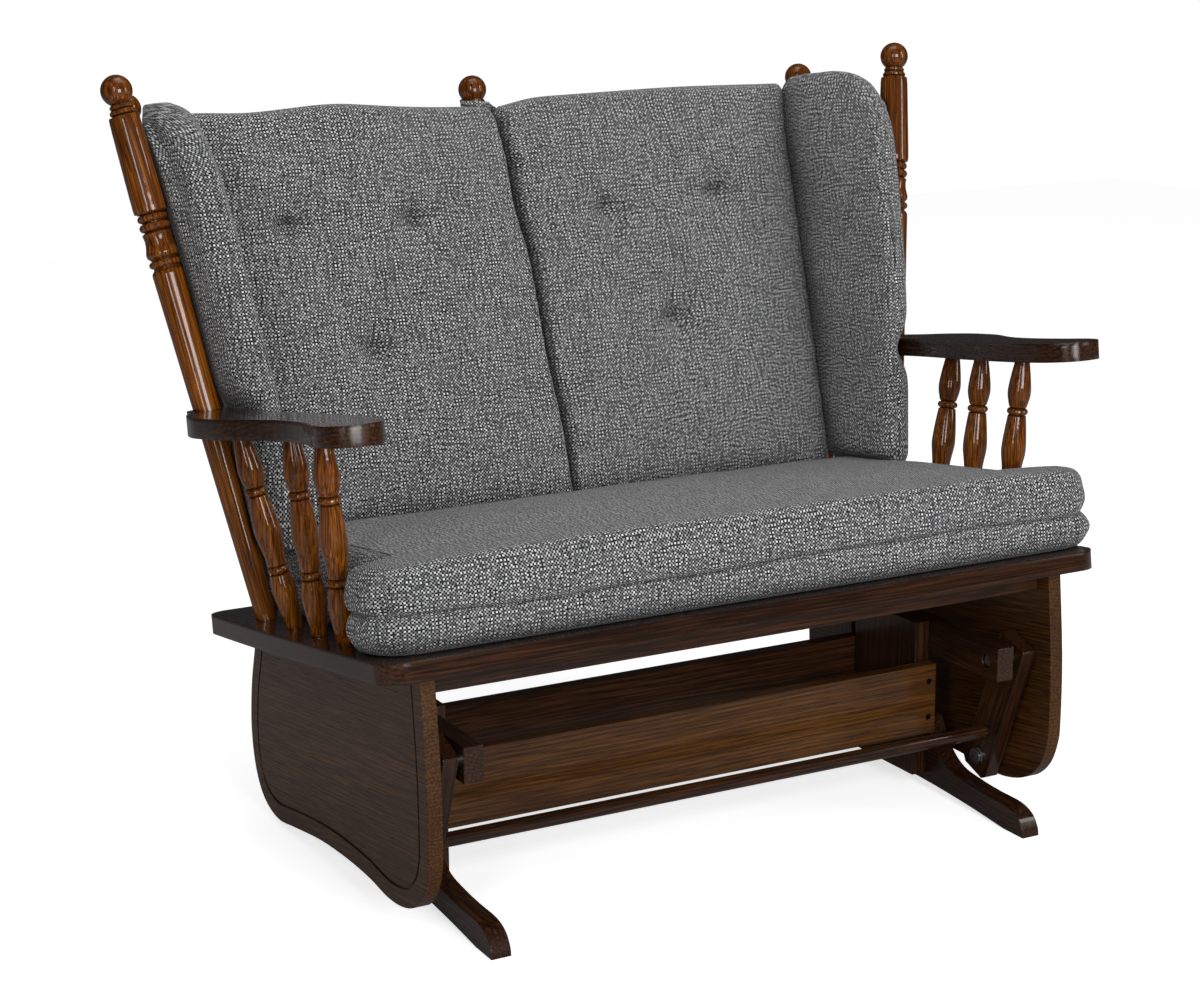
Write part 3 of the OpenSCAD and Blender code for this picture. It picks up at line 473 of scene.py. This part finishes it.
def wing_loops(h):
    """The wing cushion's outline at each height h: it fills the corner between the crease, the inner
    post and the wing post, and is pressed in where the arm passes."""
    w, i = on_post(WING_POST, h), on_post(INNER_POST, h)
    x = crease_x(h) + CUSHION_GAP
    y = pad_front(x, h)
    press = bump(h - ARM_LEVEL, 0.030)
    post_r = POST_FOOT_R + (POST_TOP_R - POST_FOOT_R) * np.minimum(h / POST_TAPER, 1)
    t = (h - 0.330) / 0.100
    round_front = WING_FRONT_R * (1 - rounded(WING_TOP - h, WING_FRONT_R))
    back = i[1] - POST_TOP_R - 0.003 - 0.014 * ease((h - WING_TOP + 0.050) / 0.050)

    def side(y_at):
        """The outer side at y_at: the line between the two posts less their radius."""
        return w[0] + (i[0] - w[0]) * (y_at - w[1]) / (i[1] - w[1]) - post_r + 0.001

    # (fx, fy) is the front corner on the inside, which bows back from h = 0.330 both ways, and
    # (gx, gy) the one on the outside
    fx, fy = w[0] - 0.064 - 0.045 * h, w[1] - 0.086 + 0.00245 * t * t + round_front
    gx, gy = fx + 0.057 - 0.018 * press, fy + 0.022
    middle = np.maximum(w[1], gy + 0.024)
    outer = np.minimum(side(middle), w[0] - post_r - 0.0015) - 0.012 * press
    corners = [(x + 0.003, back), (x, y + 0.006), (x - 0.006, y + 0.4 * (fy - y)),
               (fx - 0.002, fy + 0.014), (fx + 0.013, fy - 0.007), (gx - 0.012, gy - 0.021),
               (gx, gy + 0.006), (outer, middle), (side(back), back - 0.008)]
    return np.stack([np.stack(np.broadcast_arrays(a, b), -1) for a, b in corners], axis=1)


def make_wing_cushion(side):
    """A wing cushion: its outlines stacked by height, drawn in to a rounded top and bottom, with a
    sewn seam down the front corner and soft waves."""
    turn = 1 - np.cos(np.linspace(0, np.pi / 2, 11, endpoint=False))
    h = np.concatenate([WING_LOW + WING_LOW_R * turn,
                        np.linspace(WING_LOW + WING_LOW_R, WING_TOP - WING_TOP_R, 118),
                        WING_TOP - WING_TOP_R * turn[::-1]])
    loops = catmull_loop(wing_loops(h), POINTS_EACH)
    centre = loops.mean(axis=1, keepdims=True)
    edge = 0.35 + 0.65 * np.minimum(rounded(h - WING_LOW, WING_LOW_R), rounded(WING_TOP - h, WING_TOP_R))
    loops[..., 0] = centre[..., 0] + (loops[..., 0] - centre[..., 0]) * edge[:, None]
    step = np.linalg.norm(np.roll(loops, -1, axis=1) - loops, axis=2)
    length = np.concatenate([np.zeros((len(h), 1)), np.cumsum(step, axis=1)], axis=1)
    along = np.roll(loops, -1, axis=1) - np.roll(loops, 1, axis=1)
    normal = np.stack([-along[..., 1], along[..., 0]], -1)
    normal /= np.maximum(np.linalg.norm(normal, axis=2), 1e-9)[..., None]
    k = np.arange(loops.shape[1])[None]
    height = h[:, None]
    # the seam runs a quarter of the way from the outline's fifth corner to its sixth
    seam = k - 4.25 * POINTS_EACH
    push = 0.0012 * bump(seam, 4.0) - 0.0030 * bump(seam, 0.9)
    inside = k < 60
    waves = 0.0022 * np.sin(height * 2 * np.pi / 0.21 + k * 0.11) * np.sin(k * np.pi / 50) * inside
    puckers = 0.0007 * np.sin(height * 2 * np.pi / 0.027 + 2 * np.sin(height * 23)) * bump(seam, 5.0)
    inward = np.sign(np.einsum("ijk,ijk->i", normal, loops - centre))[:, None]
    loops = loops + normal * (inward * (push + waves + puckers) * edge[:, None])[..., None]
    # the lower end hangs down to the seat cushion, and past its edge a little further
    hang = (0.006 + 0.012 * ease((loops[..., 0] - 0.488) / 0.02)) * ease((0.20 - height) / 0.075)
    s = SIDES[side]
    rows, columns = loops.shape[:2]
    body = from_seat(loops[..., 0] * s, loops[..., 1], height - hang).reshape(-1, 3)
    ends = centre[[0, -1], 0]
    caps = from_seat(ends[:, 0] * s, ends[:, 1], h[[0, -1]] - [0.012, 0])
    points = np.concatenate([body, caps])
    triangles = end_fans(rows, columns)
    return make_mesh(f"{side}_wing_cushion_cover", points, grid_faces(rows, columns, closed=True),
                     grid_uv(length, height), triangles, points[triangles][..., :2])


def make_buttons(side):
    """Cloth-covered buttons in the tufts: each a dome, the upper part of an ellipsoid, that looks
    up by 16 degrees."""
    rings, around, r, high, tilt = 7, 20, 0.0085, 0.0042, math.radians(16)
    polar = np.linspace(0, 0.62 * np.pi, rings + 1)[1:, None]
    azimuth = np.linspace(0, 2 * np.pi, around, endpoint=False)[None]
    dome = np.stack(np.broadcast_arrays(
        r * np.sin(polar) * np.cos(azimuth), -high * np.cos(polar),
        r * np.sin(polar) * np.sin(azimuth)), -1).reshape(-1, 3)
    dome = np.concatenate([dome, [[0, -high, 0], [0, 0.0022, 0]]])
    forth = dome[:, 1] * math.cos(tilt) + dome[:, 2] * math.sin(tilt)
    rise = dome[:, 2] * math.cos(tilt) - dome[:, 1] * math.sin(tilt)
    buttons = []
    for x, h in tuft_places(side):
        face = face_of_pad(side, np.array(x), np.array(h))[0]
        place = x * SIDES[side] + split_shift(x, h, crease_x(h) - CUSHION_GAP)
        buttons.append(from_seat(place + dome[:, 0], face - CUSHION_GAP + forth, h - 0.004 + rise))
    quads, fans = grid_faces(rings, around, closed=True), end_fans(rings, around)
    first, again = len(dome) * np.arange(len(buttons))[:, None, None], (len(buttons), 1, 1)
    flat = dome[:, [0, 2]]
    return make_mesh(f"{side}_back_buttons", np.concatenate(buttons),
                     (quads + first).reshape(-1, 4), np.tile(flat[quads], again),
                     (fans + first).reshape(-1, 3), np.tile(flat[fans], again))


TIE_R = 0.0222
TIE_HALF_WIDTH = 0.0075
TIE_HALF_THICK = 0.0012


def make_tie(name, post, length, reach):
    """A cloth tie round a post's neck: a flat band carried along a falling turn round the post, from
    its right to its right again, whose end goes forward and down between the cushions."""
    foot, head = post
    axis = (head - foot) / np.linalg.norm(head - foot)
    centre = foot + (head - foot) * length / head[2]
    turn = np.linspace(0, 1, 60)
    a = np.radians(-20 - 325 * turn)
    fall = 0.009 * (1 - turn) ** 2 - 0.006 * turn
    arc = centre + np.stack([TIE_R * np.cos(a), -TIE_R * np.sin(a), fall], -1)
    arc[:, 1] += (arc[:, 2] - centre[2]) * axis[1] / axis[2]
    t = np.linspace(0, 1, 14)[1:, None]
    end = centre + np.array([0.030, -reach, -0.040])
    path = np.concatenate([arc, arc[-1] + (end - arc[-1]) * t])
    # each point becomes the mean of seven, which rounds the kink where the end leaves the turn
    held = np.pad(path, ((3, 3), (0, 0)), mode="edge")
    path = sum(held[k:k + len(path)] for k in range(7)) / 7
    along = np.gradient(path, axis=0)
    along /= np.linalg.norm(along, axis=1)[:, None]
    out = np.cross(along, axis)
    out /= np.linalg.norm(out, axis=1)[:, None]
    wide = np.cross(out, along)
    v = np.linspace(0, 2 * np.pi, 16, endpoint=False)
    across = TIE_HALF_WIDTH * np.sign(np.cos(v)) * np.abs(np.cos(v)) ** 0.5
    thick = TIE_HALF_THICK * np.sign(np.sin(v)) * np.abs(np.sin(v)) ** 0.7
    grid = path[:, None] + wide[:, None] * across[:, None] + out[:, None] * thick[:, None]
    rows, columns = grid.shape[:2]
    points = np.concatenate([grid.reshape(-1, 3), path[[0, -1]]])
    down = np.concatenate([[0], np.cumsum(np.linalg.norm(np.diff(path, axis=0), axis=1))])
    fans = end_fans(rows, columns)
    return make_mesh(name, from_seat(*points.T), grid_faces(rows, columns, closed=True),
                     grid_uv(np.append(across, across[-1]), down[:, None]), fans, points[fans][..., :2])


# ---- materials ----

def linear(code):
    """An sRGB hex colour as linear RGBA: c / 12.92 below 0.04045, else ((c + 0.055) / 1.055) ^ 2.4."""
    values = [int(code[k:k + 2], 16) / 255 for k in (1, 3, 5)]
    return [c / 12.92 if c <= 0.04045 else ((c + 0.055) / 1.055) ** 2.4 for c in values] + [1.0]


def add(tree, kind, out=0, feeds=None, **settings):
    """Adds a node, sets its properties, feeds its sockets with values or other nodes' outputs, and
    returns one of its outputs."""
    node = tree.nodes.new("ShaderNode" + kind)
    for key, value in settings.items():
        setattr(node, key, value)
    for key, value in (feeds or {}).items():
        if isinstance(value, bpy.types.NodeSocket):
            tree.links.new(value, node.inputs[key])
        else:
            node.inputs[key].default_value = value
    return node.outputs[out] if node.outputs else node


def new_material(name):
    """An empty material with a Principled shader, and its node tree."""
    made = bpy.data.materials.new(name)
    made.use_nodes = True
    return made, made.node_tree, made.node_tree.nodes["Principled BSDF"]


def ramp(tree, value, stops):
    """Colours at places from 0 to 1, each a (place, hex colour)."""
    out = add(tree, "ValToRGB", feeds={"Fac": value})
    band = out.node.color_ramp
    while len(band.elements) < len(stops):
        band.elements.new(0.5)
    for element, (place, code) in zip(band.elements, stops):
        element.position = place
        element.color = linear(code)
    return out


# The yarns of this tweed lie 2.3 mm apart, both ways. They are drawn a little coarser, so that a
# picture of the whole seat still shows their dots
YARN = 0.0025


def make_tweed():
    """Wool-blend tweed in plain weave: pale slubby yarns one way over near-black ones the other, so
    that dots of both alternate like a chequerboard and read as pepper and salt. Each dot has a shade
    of its own, and yarns run paler or darker for a while, which gives short streaks both ways. It is
    matt, with a little fuzz that catches light at the rim."""
    made, tree, shader = new_material("tweed_plain_weave")
    place = add(tree, "TexCoord", out="UV")
    threads = add(tree, "VectorMath", operation="SCALE", feeds={0: place, "Scale": 1 / YARN})
    # the yarns are slack and wander by some fifth of their distance
    slack = add(tree, "TexNoise", out="Color", noise_dimensions="2D",
                feeds={"Vector": threads, "Scale": 0.21, "Detail": 1.0})
    threads = add(tree, "VectorMath", operation="MULTIPLY_ADD",
                  feeds={0: slack, 1: (0.8, 0.8, 0.0), 2: threads})
    cell = add(tree, "VectorMath", operation="FLOOR", feeds={0: threads})
    warp = add(tree, "SeparateXYZ", out="X", feeds={0: cell})
    both = add(tree, "Math", operation="ADD", feeds={0: warp, 1: warp.node.outputs["Y"]})
    pale = add(tree, "Math", operation="FLOORED_MODULO", feeds={0: both, 1: 2.0})
    # a dot's own shade is chance, less that of the next dots on both diagonals, so that bright dots
    # lie apart as slubs do and don't gather in patches
    mix = 0.295
    for shift, share in (((0, 0, 0), 0.38), ((1, 1, 0), -0.30), ((1, -1, 0), -0.30), ((2, 0, 0), 0.22)):
        near = add(tree, "VectorMath", operation="ADD", feeds={0: cell, 1: shift})
        speck = add(tree, "TexWhiteNoise", out="Value", noise_dimensions="2D", feeds={"Vector": near})
        mix = add(tree, "Math", operation="MULTIPLY_ADD", feeds={0: speck, 1: share, 2: mix})
    # runs of 20 mm along the warp and along the weft differ too, and neighbouring yarns have
    # nothing in common
    for stretch, depth in (((3.7, 0.12, 0.0), 0.17), ((0.12, 3.7, 0.0), 0.08)):
        along = add(tree, "VectorMath", operation="MULTIPLY", feeds={0: cell, 1: stretch})
        shade = add(tree, "TexNoise", out="Fac", noise_dimensions="2D",
                    feeds={"Vector": along, "Scale": 1.0, "Detail": 0.0})
        shade = add(tree, "MapRange",
                    feeds={"Value": shade, "From Min": 0.25, "From Max": 0.75, "To Max": depth})
        mix = add(tree, "Math", operation="ADD", feeds={0: mix, 1: shade})
    # a dot's yarn counts for a little more than its shade
    tone = add(tree, "Math", operation="MULTIPLY", feeds={0: mix, 1: 0.47})
    tone = add(tree, "Math", operation="MULTIPLY_ADD", feeds={0: pale, 1: 0.53, 2: tone})
    colour = ramp(tree, tone, [(0.0, "#010101"), (0.46, "#070708"), (0.56, "#2c2d2f"),
                               (0.70, "#7c7d7f"), (0.82, "#cccccc"), (1.0, "#fafafa")])
    # painted shade: the colour darkens where other surfaces lie within 45 mm, most in the creases and
    # round the tufts
    occlusion_shade = add(tree, "AmbientOcclusion", out="AO", samples=6, feeds={"Distance": 0.045})
    occlusion_shade = add(tree, "MapRange",
                 feeds={"Value": occlusion_shade, "From Min": 0.20, "From Max": 0.80, "To Min": 0.22})
    colour = add(tree, "Mix", out=2, data_type="RGBA", blend_type="MULTIPLY",
                 feeds={0: 1.0, 6: colour, 7: occlusion_shade})
    tree.links.new(colour, shader.inputs["Base Color"])
    shader.inputs["Roughness"].default_value = 0.92
    shader.inputs["Specular IOR Level"].default_value = 0.2
    shader.inputs["Sheen Weight"].default_value = 0.12
    shader.inputs["Sheen Roughness"].default_value = 0.6
    return made


def make_oak(name, stain, grain, across, pith, gloss, edge=0.0025, ring=0.0052):
    """Red oak, sawn or turned, stained and sprayed with lacquer. Growth rings lie round a pith
    outside the piece, ring apart, and open pores of 0.3 mm drink more stain and run 20 mm along the
    grain. grain is the direction of the fibres, across one square to it, pith a point on the tree's
    middle line, and stain the dark, middle and light colours."""
    made, tree, shader = new_material(name)
    grain = np.array(grain, float) / np.linalg.norm(grain)
    across = np.array(across, float) - grain * np.dot(grain, across)
    across /= np.linalg.norm(across)
    third = np.cross(grain, across)
    place = add(tree, "TexCoord", out="Object")
    place = add(tree, "VectorMath", operation="SUBTRACT", feeds={0: place, 1: tuple(pith)})
    x, y, z = (add(tree, "VectorMath", out="Value", operation="DOT_PRODUCT",
                   feeds={0: place, 1: tuple(axis)}) for axis in (grain, across, third))
    local = add(tree, "CombineXYZ", feeds={0: x, 1: y, 2: z})
    slow, fine, fibre = (add(tree, "VectorMath", operation="MULTIPLY", feeds={0: local, 1: stretch})
                         for stretch in ((2.2, 9.0, 9.0), (34.0, 1100.0, 1100.0), (9.0, 320.0, 320.0)))
    drift = add(tree, "TexNoise", out="Fac",
                feeds={"Vector": slow, "Scale": 1.0, "Detail": 2.0, "Roughness": 0.5})
    flat = add(tree, "CombineXYZ", feeds={0: 0.0, 1: y, 2: z})
    radius = add(tree, "VectorMath", out="Value", operation="LENGTH", feeds={0: flat})
    bend = add(tree, "Math", operation="MULTIPLY_ADD", feeds={0: drift, 1: 0.034, 2: radius})
    rings = add(tree, "Math", operation="MULTIPLY", feeds={0: bend, 1: 1 / ring})
    rings = add(tree, "Math", operation="FRACT", feeds={0: rings})
    # early wood is open and dark at the start of a ring, and late wood is dense and pale
    early = add(tree, "MapRange", interpolation_type="SMOOTHSTEP",
                feeds={"Value": rings, "From Max": 0.42, "To Min": 1.0, "To Max": 0.0})
    late = add(tree, "MapRange", interpolation_type="SMOOTHSTEP",
               feeds={"Value": rings, "From Min": 0.86})
    early = add(tree, "Math", operation="MAXIMUM", feeds={0: early, 1: late})
    pores = add(tree, "TexNoise", out="Fac",
                feeds={"Vector": fine, "Scale": 1.0, "Detail": 1.5, "Roughness": 0.6})
    pores = add(tree, "MapRange", feeds={"Value": pores, "From Min": 0.52, "From Max": 0.68})
    share = add(tree, "Math", operation="MULTIPLY_ADD", feeds={0: early, 1: 0.75, 2: 0.25})
    pores = add(tree, "Math", operation="MULTIPLY", feeds={0: pores, 1: share})
    # the fibres give the tone; early wood and pores darken it, and the stain took unevenly
    cloudy = add(tree, "TexNoise", out="Fac", feeds={"Vector": slow, "Scale": 0.7, "Detail": 1.0})
    cloudy = add(tree, "MapRange", feeds={"Value": cloudy, "From Min": 0.3, "From Max": 0.7,
                                          "To Min": -0.14, "To Max": 0.14})
    tone = add(tree, "TexNoise", out="Fac",
               feeds={"Vector": fibre, "Scale": 1.0, "Detail": 3.0, "Roughness": 0.65})
    tone = add(tree, "MapRange",
               feeds={"Value": tone, "From Min": 0.30, "From Max": 0.70, "To Min": 0.25})
    for part, weight in ((early, -0.14), (pores, -0.55), (cloudy, 1.0)):
        tone = add(tree, "Math", operation="MULTIPLY_ADD", feeds={0: part, 1: weight, 2: tone})
    colour = ramp(tree, tone, [(0.0, stain[0]), (0.5, stain[1]), (1.0, stain[2])])
    # the colour darkens within 6 mm of corners and turned grooves: partly stain and lacquer that gather
    # there, partly painted shade
    occlusion_shade = add(tree, "AmbientOcclusion", out="AO", samples=6, feeds={"Distance": 0.006})
    occlusion_shade = add(tree, "MapRange",
                 feeds={"Value": occlusion_shade, "From Min": 0.35, "From Max": 0.95, "To Min": 0.30})
    colour = add(tree, "Mix", out=2, data_type="RGBA", blend_type="MULTIPLY",
                 feeds={0: 1.0, 6: colour, 7: occlusion_shade})
    tree.links.new(colour, shader.inputs["Base Color"])
    rough = add(tree, "MapRange", feeds={"Value": pores, "To Min": gloss, "To Max": gloss + 0.15})
    tree.links.new(rough, shader.inputs["Roughness"])
    soft_edge = add(tree, "Bevel", samples=4, feeds={"Radius": edge})
    # the lacquer sinks a little into the pores, and its own surface stays flat
    sunk = add(tree, "Math", operation="MULTIPLY", feeds={0: pores, 1: -1.0})
    normal = add(tree, "Bump",
                 feeds={"Strength": 0.22, "Distance": 0.0003, "Height": sunk, "Normal": soft_edge})
    tree.links.new(normal, shader.inputs["Normal"])
    shader.inputs["IOR"].default_value = 1.5
    shader.inputs["Specular IOR Level"].default_value = 0.12
    shader.inputs["Coat Weight"].default_value = 1.3 - 2 * gloss
    shader.inputs["Coat Roughness"].default_value = max(0.06, gloss - 0.18)
    tree.links.new(soft_edge, shader.inputs["Coat Normal"])
    return made


def make_steel(name, colour, roughness):
    """Zinc-plated or blacked steel: a dull metal with faint blotches from its bath."""
    made, tree, shader = new_material(name)
    place = add(tree, "TexCoord", out="Object")
    blotch = add(tree, "TexNoise", out="Fac", feeds={"Vector": place, "Scale": 260.0, "Detail": 3.0})
    tone = ramp(tree, blotch, [(0.3, colour[0]), (0.7, colour[1])])
    tree.links.new(tone, shader.inputs["Base Color"])
    rough = add(tree, "MapRange", feeds={"Value": blotch, "From Min": 0.3, "From Max": 0.7,
                                         "To Min": roughness, "To Max": roughness + 0.12})
    tree.links.new(rough, shader.inputs["Roughness"])
    soft_edge = add(tree, "Bevel", samples=4, feeds={"Radius": 0.0008})
    tree.links.new(soft_edge, shader.inputs["Normal"])
    shader.inputs["Metallic"].default_value = 1.0
    return made


def make_nylon():
    """Moulded nylon: off-white, waxy, with light passing a little under its skin."""
    made, tree, shader = new_material("nylon_moulded")
    place = add(tree, "TexCoord", out="Object")
    cloud = add(tree, "TexNoise", out="Fac", feeds={"Vector": place, "Scale": 120.0, "Detail": 2.0})
    tone = ramp(tree, cloud, [(0.3, "#cfcabb"), (0.7, "#e4e0d3")])
    tree.links.new(tone, shader.inputs["Base Color"])
    shader.inputs["Roughness"].default_value = 0.45
    shader.inputs["Subsurface Weight"].default_value = 0.1
    shader.inputs["Subsurface Scale"].default_value = 0.002
    return made


def wear(node, material):
    """Gives a CAD node its one material."""
    slots = NODES[node].data.materials
    slots.clear()
    slots.append(material)


# ---- pieces ----

tweed = make_tweed()
covers = {"seat_cushion": make_seat_cushion()}
for name in SIDES:
    covers[f"{name}_back_cushion"] = make_back_cushion(name)
    covers[f"{name}_wing_cushion"] = make_wing_cushion(name)
for node, cover in covers.items():
    cover.data.materials.append(tweed)
    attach(cover, "seat")
    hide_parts(node)
trimmings = [make_buttons(name) for name in SIDES]
trimmings.append(make_tie("centre_tie", CENTRE_POST, 0.708, 0.034))
for piece in trimmings:
    piece.data.materials.append(tweed)
    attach(piece, "seat")

DARK_STAIN = ["#0c0603", "#28150b", "#4a2c16"]
PANEL_STAIN = ["#1d0f06", "#41260e", "#654019"]
WARM_STAIN = ["#1f0c02", "#5f3009", "#a05d14"]
ALONG_X, ALONG_Y, UP = (1, 0, 0), (0, 1, 0), (0, 0, 1)
ALONG_SEAT = (0, math.cos(SLOPE), -math.sin(SLOPE))
# turned pieces have crisp edges, and are cut from wood with close rings
TURNED = {"edge": 0.0006, "ring": 0.0030}


def row_direction(a, b):
    """The direction from a to b, two points of the seat's frame, in the row frame."""
    d = from_seat(*b) - from_seat(*a)
    return d / np.linalg.norm(d)


def centre_of(node):
    """The middle of a CAD node's box."""
    low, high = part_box(node)
    return (np.array(low) + np.array(high)) / 2


def dress(node, stain, grain, across, offset, gloss, **rest):
    """Oak for one CAD node, with the tree's pith at offset from the node's middle."""
    pith = centre_of(node) + np.array(offset)
    wear(node, make_oak(f"oak_{node}", stain, grain, across, pith, gloss, **rest))


for side, s in SIDES.items():
    dress(f"{side}_foot", DARK_STAIN, ALONG_Y, UP, (0.03 * s, 0, -0.12), 0.34)
    dress(f"{side}_upright", DARK_STAIN, UP, ALONG_X, (0.05, 0.02 * s, 0), 0.36)
    dress(f"{side}_rail", DARK_STAIN, ALONG_Y, UP, (0.02 * s, 0, -0.07), 0.30)
    dress(f"{side}_cleat", DARK_STAIN, ALONG_Y, UP, (0, 0, -0.09), 0.45)
    dress(f"{side}_panel", PANEL_STAIN, ALONG_SEAT, UP, (-0.02 * s, 0, -0.30), 0.42)
    dress(f"{side}_arm", DARK_STAIN, ALONG_SEAT, ALONG_X, (0.02, 0, -0.10), 0.27, edge=0.008)
    for end, angle in (("front", 20.6), ("rear", -9.0)):
        down = (0, math.sin(math.radians(angle)), -math.cos(math.radians(angle)))
        dress(f"{end}_{side}_link", DARK_STAIN, down, ALONG_X, (0.05, 0.03, 0), 0.32)
    for name, post in (("wing", WING_POST), ("inner", INNER_POST)):
        grain = row_direction(*(point * [s, 1, 1] for point in post))
        dress(f"{side}_{name}_post", WARM_STAIN, grain, ALONG_Y, (0.045 * s, -0.04, 0), 0.26, **TURNED)
    for k, name in enumerate(("front", "middle", "rear")):
        pith = (0.030 * s, -0.028 + 0.006 * k, 0)
        dress(f"{side}_{name}_spindle", WARM_STAIN, UP, ALONG_Y, pith, 0.26, **TURNED)
    dress(f"{side}_back_rungs", WARM_STAIN, ALONG_X, UP, (0, 0.02, 0.05), 0.30, **TURNED)
    dress(f"{side}_wing_rungs", WARM_STAIN, ALONG_Y, UP, (0.02, 0, 0.05), 0.30, **TURNED)
dress("centre_post", WARM_STAIN, row_direction(*CENTRE_POST), ALONG_Y, (0.04, -0.05, 0), 0.26, **TURNED)
dress("front_board", PANEL_STAIN, ALONG_X, UP, (0, 0.05, 0.10), 0.34)
dress("rear_board", DARK_STAIN, ALONG_X, UP, (0, -0.05, 0.06), 0.38)
for end in ("front", "rear"):
    dress(f"{end}_rod", DARK_STAIN, ALONG_X, UP, (0, 0.01, 0.03), 0.26)
dress("front_apron", DARK_STAIN, ALONG_X, UP, (0, 0, 0.08), 0.45)
dress("seat_board", DARK_STAIN, ALONG_X, ALONG_Y, (0, -0.25, -0.14), 0.27, edge=0.007)
zinc = make_steel("steel_zinc_plated", ["#8f9196", "#b8babd"], 0.30)
black = make_steel("steel_blacked", ["#17171a", "#2c2b2d"], 0.42)
wear("board_screws", black)
for node in ("upper_bolts", "upper_spacers", "lower_bolts", "lower_spacers"):
    wear(node, zinc)
nylon = make_nylon()
wear("front_bushings", nylon)
wear("rear_bushings", nylon)


# ---- studio ----

def make_floor():
    """A white floor. To the camera it adds its own light to what falls on it, so that it is as white
    as the backdrop and still keeps the object's shadow."""
    # it lies just under the feet
    half, low = 6.0, -0.0006
    mesh = bpy.data.meshes.new("studio_floor")
    mesh.from_pydata([(-half, -half, low), (half, -half, low), (half, half, low), (-half, half, low)],
                     [], [(0, 1, 2, 3)])
    floor = bpy.data.objects.new("studio_floor", mesh)
    bpy.context.scene.collection.objects.link(floor)
    made, tree, shader = new_material("studio_white")
    shader.inputs["Roughness"].default_value = 0.9
    shader.inputs["Specular IOR Level"].default_value = 0.0
    rays = add(tree, "LightPath", out="Is Camera Ray")
    glow = add(tree, "Math", operation="MULTIPLY", feeds={0: rays, 1: 0.66})
    # it throws less light back on the object than it shows the camera, as a floor that ends would
    white = add(tree, "MapRange", feeds={"Value": rays, "To Min": 0.38, "To Max": 0.9})
    tree.links.new(white, shader.inputs["Base Color"])
    lit = add(tree, "Emission", feeds={"Color": (1, 1, 1, 1), "Strength": glow})
    both = add(tree, "AddShader", feeds={0: shader.outputs[0], 1: lit})
    tree.links.new(both, tree.nodes["Material Output"].inputs["Surface"])
    mesh.materials.append(made)


def make_light(name, place, aim, size, power):
    """A soft box of size (width, height) at place, turned to aim."""
    lamp = bpy.data.lights.new(name, "AREA")
    lamp.shape = "RECTANGLE"
    lamp.size, lamp.size_y = size
    lamp.energy = power
    made = bpy.data.objects.new(name, lamp)
    made.location = place
    back = np.array(place, float) - np.array(aim, float)
    made.rotation_mode = "QUATERNION"
    made.rotation_quaternion = Vector(back).to_track_quat("Z", "Y")
    bpy.context.scene.collection.objects.link(made)


make_floor()
make_light("front_soft_box", (-0.3, -3.9, 1.6), (0, 0, 0.5), (1.6, 1.5), 82)
make_light("left_soft_box", (-2.7, -2.9, 1.7), (0, 0, 0.5), (0.5, 1.9), 26)
make_light("right_soft_box", (2.9, -2.4, 1.9), (0, 0, 0.5), (0.5, 1.9), 26)
make_light("top_soft_box", (0.0, 0.2, 3.4), (0, 0, 0.4), (2.0, 1.4), 18)

world = bpy.data.worlds.new("studio")
world.use_nodes = True
tree = world.node_tree
tree.nodes.clear()
# white to the camera, dim in reflections, so that the dark lacquer stays dark between the soft boxes
rays = add(tree, "LightPath", out="Is Camera Ray")
glossy = rays.node.outputs["Is Glossy Ray"]
ambient = add(tree, "Mix", data_type="FLOAT", feeds={0: glossy, 2: 0.34, 3: 0.03})
strength = add(tree, "Mix", data_type="FLOAT", feeds={0: rays, 2: ambient, 3: 1.0})
sky = add(tree, "Background", feeds={"Color": (1, 1, 1, 1), "Strength": strength})
add(tree, "OutputWorld", feeds={"Surface": sky})
bpy.context.scene.world = world
bpy.context.scene.view_settings.view_transform = "Standard"

# the photograph's camera, fitted to the object: turn, pitch and roll in degrees
turn, pitch, roll = (math.radians(a) for a in (-28.296, 13.848, -0.444))
level = np.array([math.cos(turn), math.sin(turn), 0.0])
ahead = np.array([-math.sin(turn), math.cos(turn), 0.0])
forward = ahead * math.cos(pitch) - np.array([0.0, 0.0, math.sin(pitch)])
upward = np.cross(level, forward)
right = level * math.cos(roll) + upward * math.sin(roll)
upward = np.cross(right, forward)
camera = bpy.data.objects.new("photo_camera", bpy.data.cameras.new("photo_camera"))
camera.data.lens = 73.575
camera.data.sensor_width = 36.0
camera.data.shift_y = 2.74 / 1200
camera.data.clip_end = 60
pose = np.eye(4)
pose[:3, 0], pose[:3, 1], pose[:3, 2] = right, upward, -forward
pose[:3, 3] = (-1.672, -3.069222, 1.304)
camera.matrix_world = Matrix(pose.tolist())
bpy.context.scene.collection.objects.link(camera)
bpy.context.scene.camera = camera
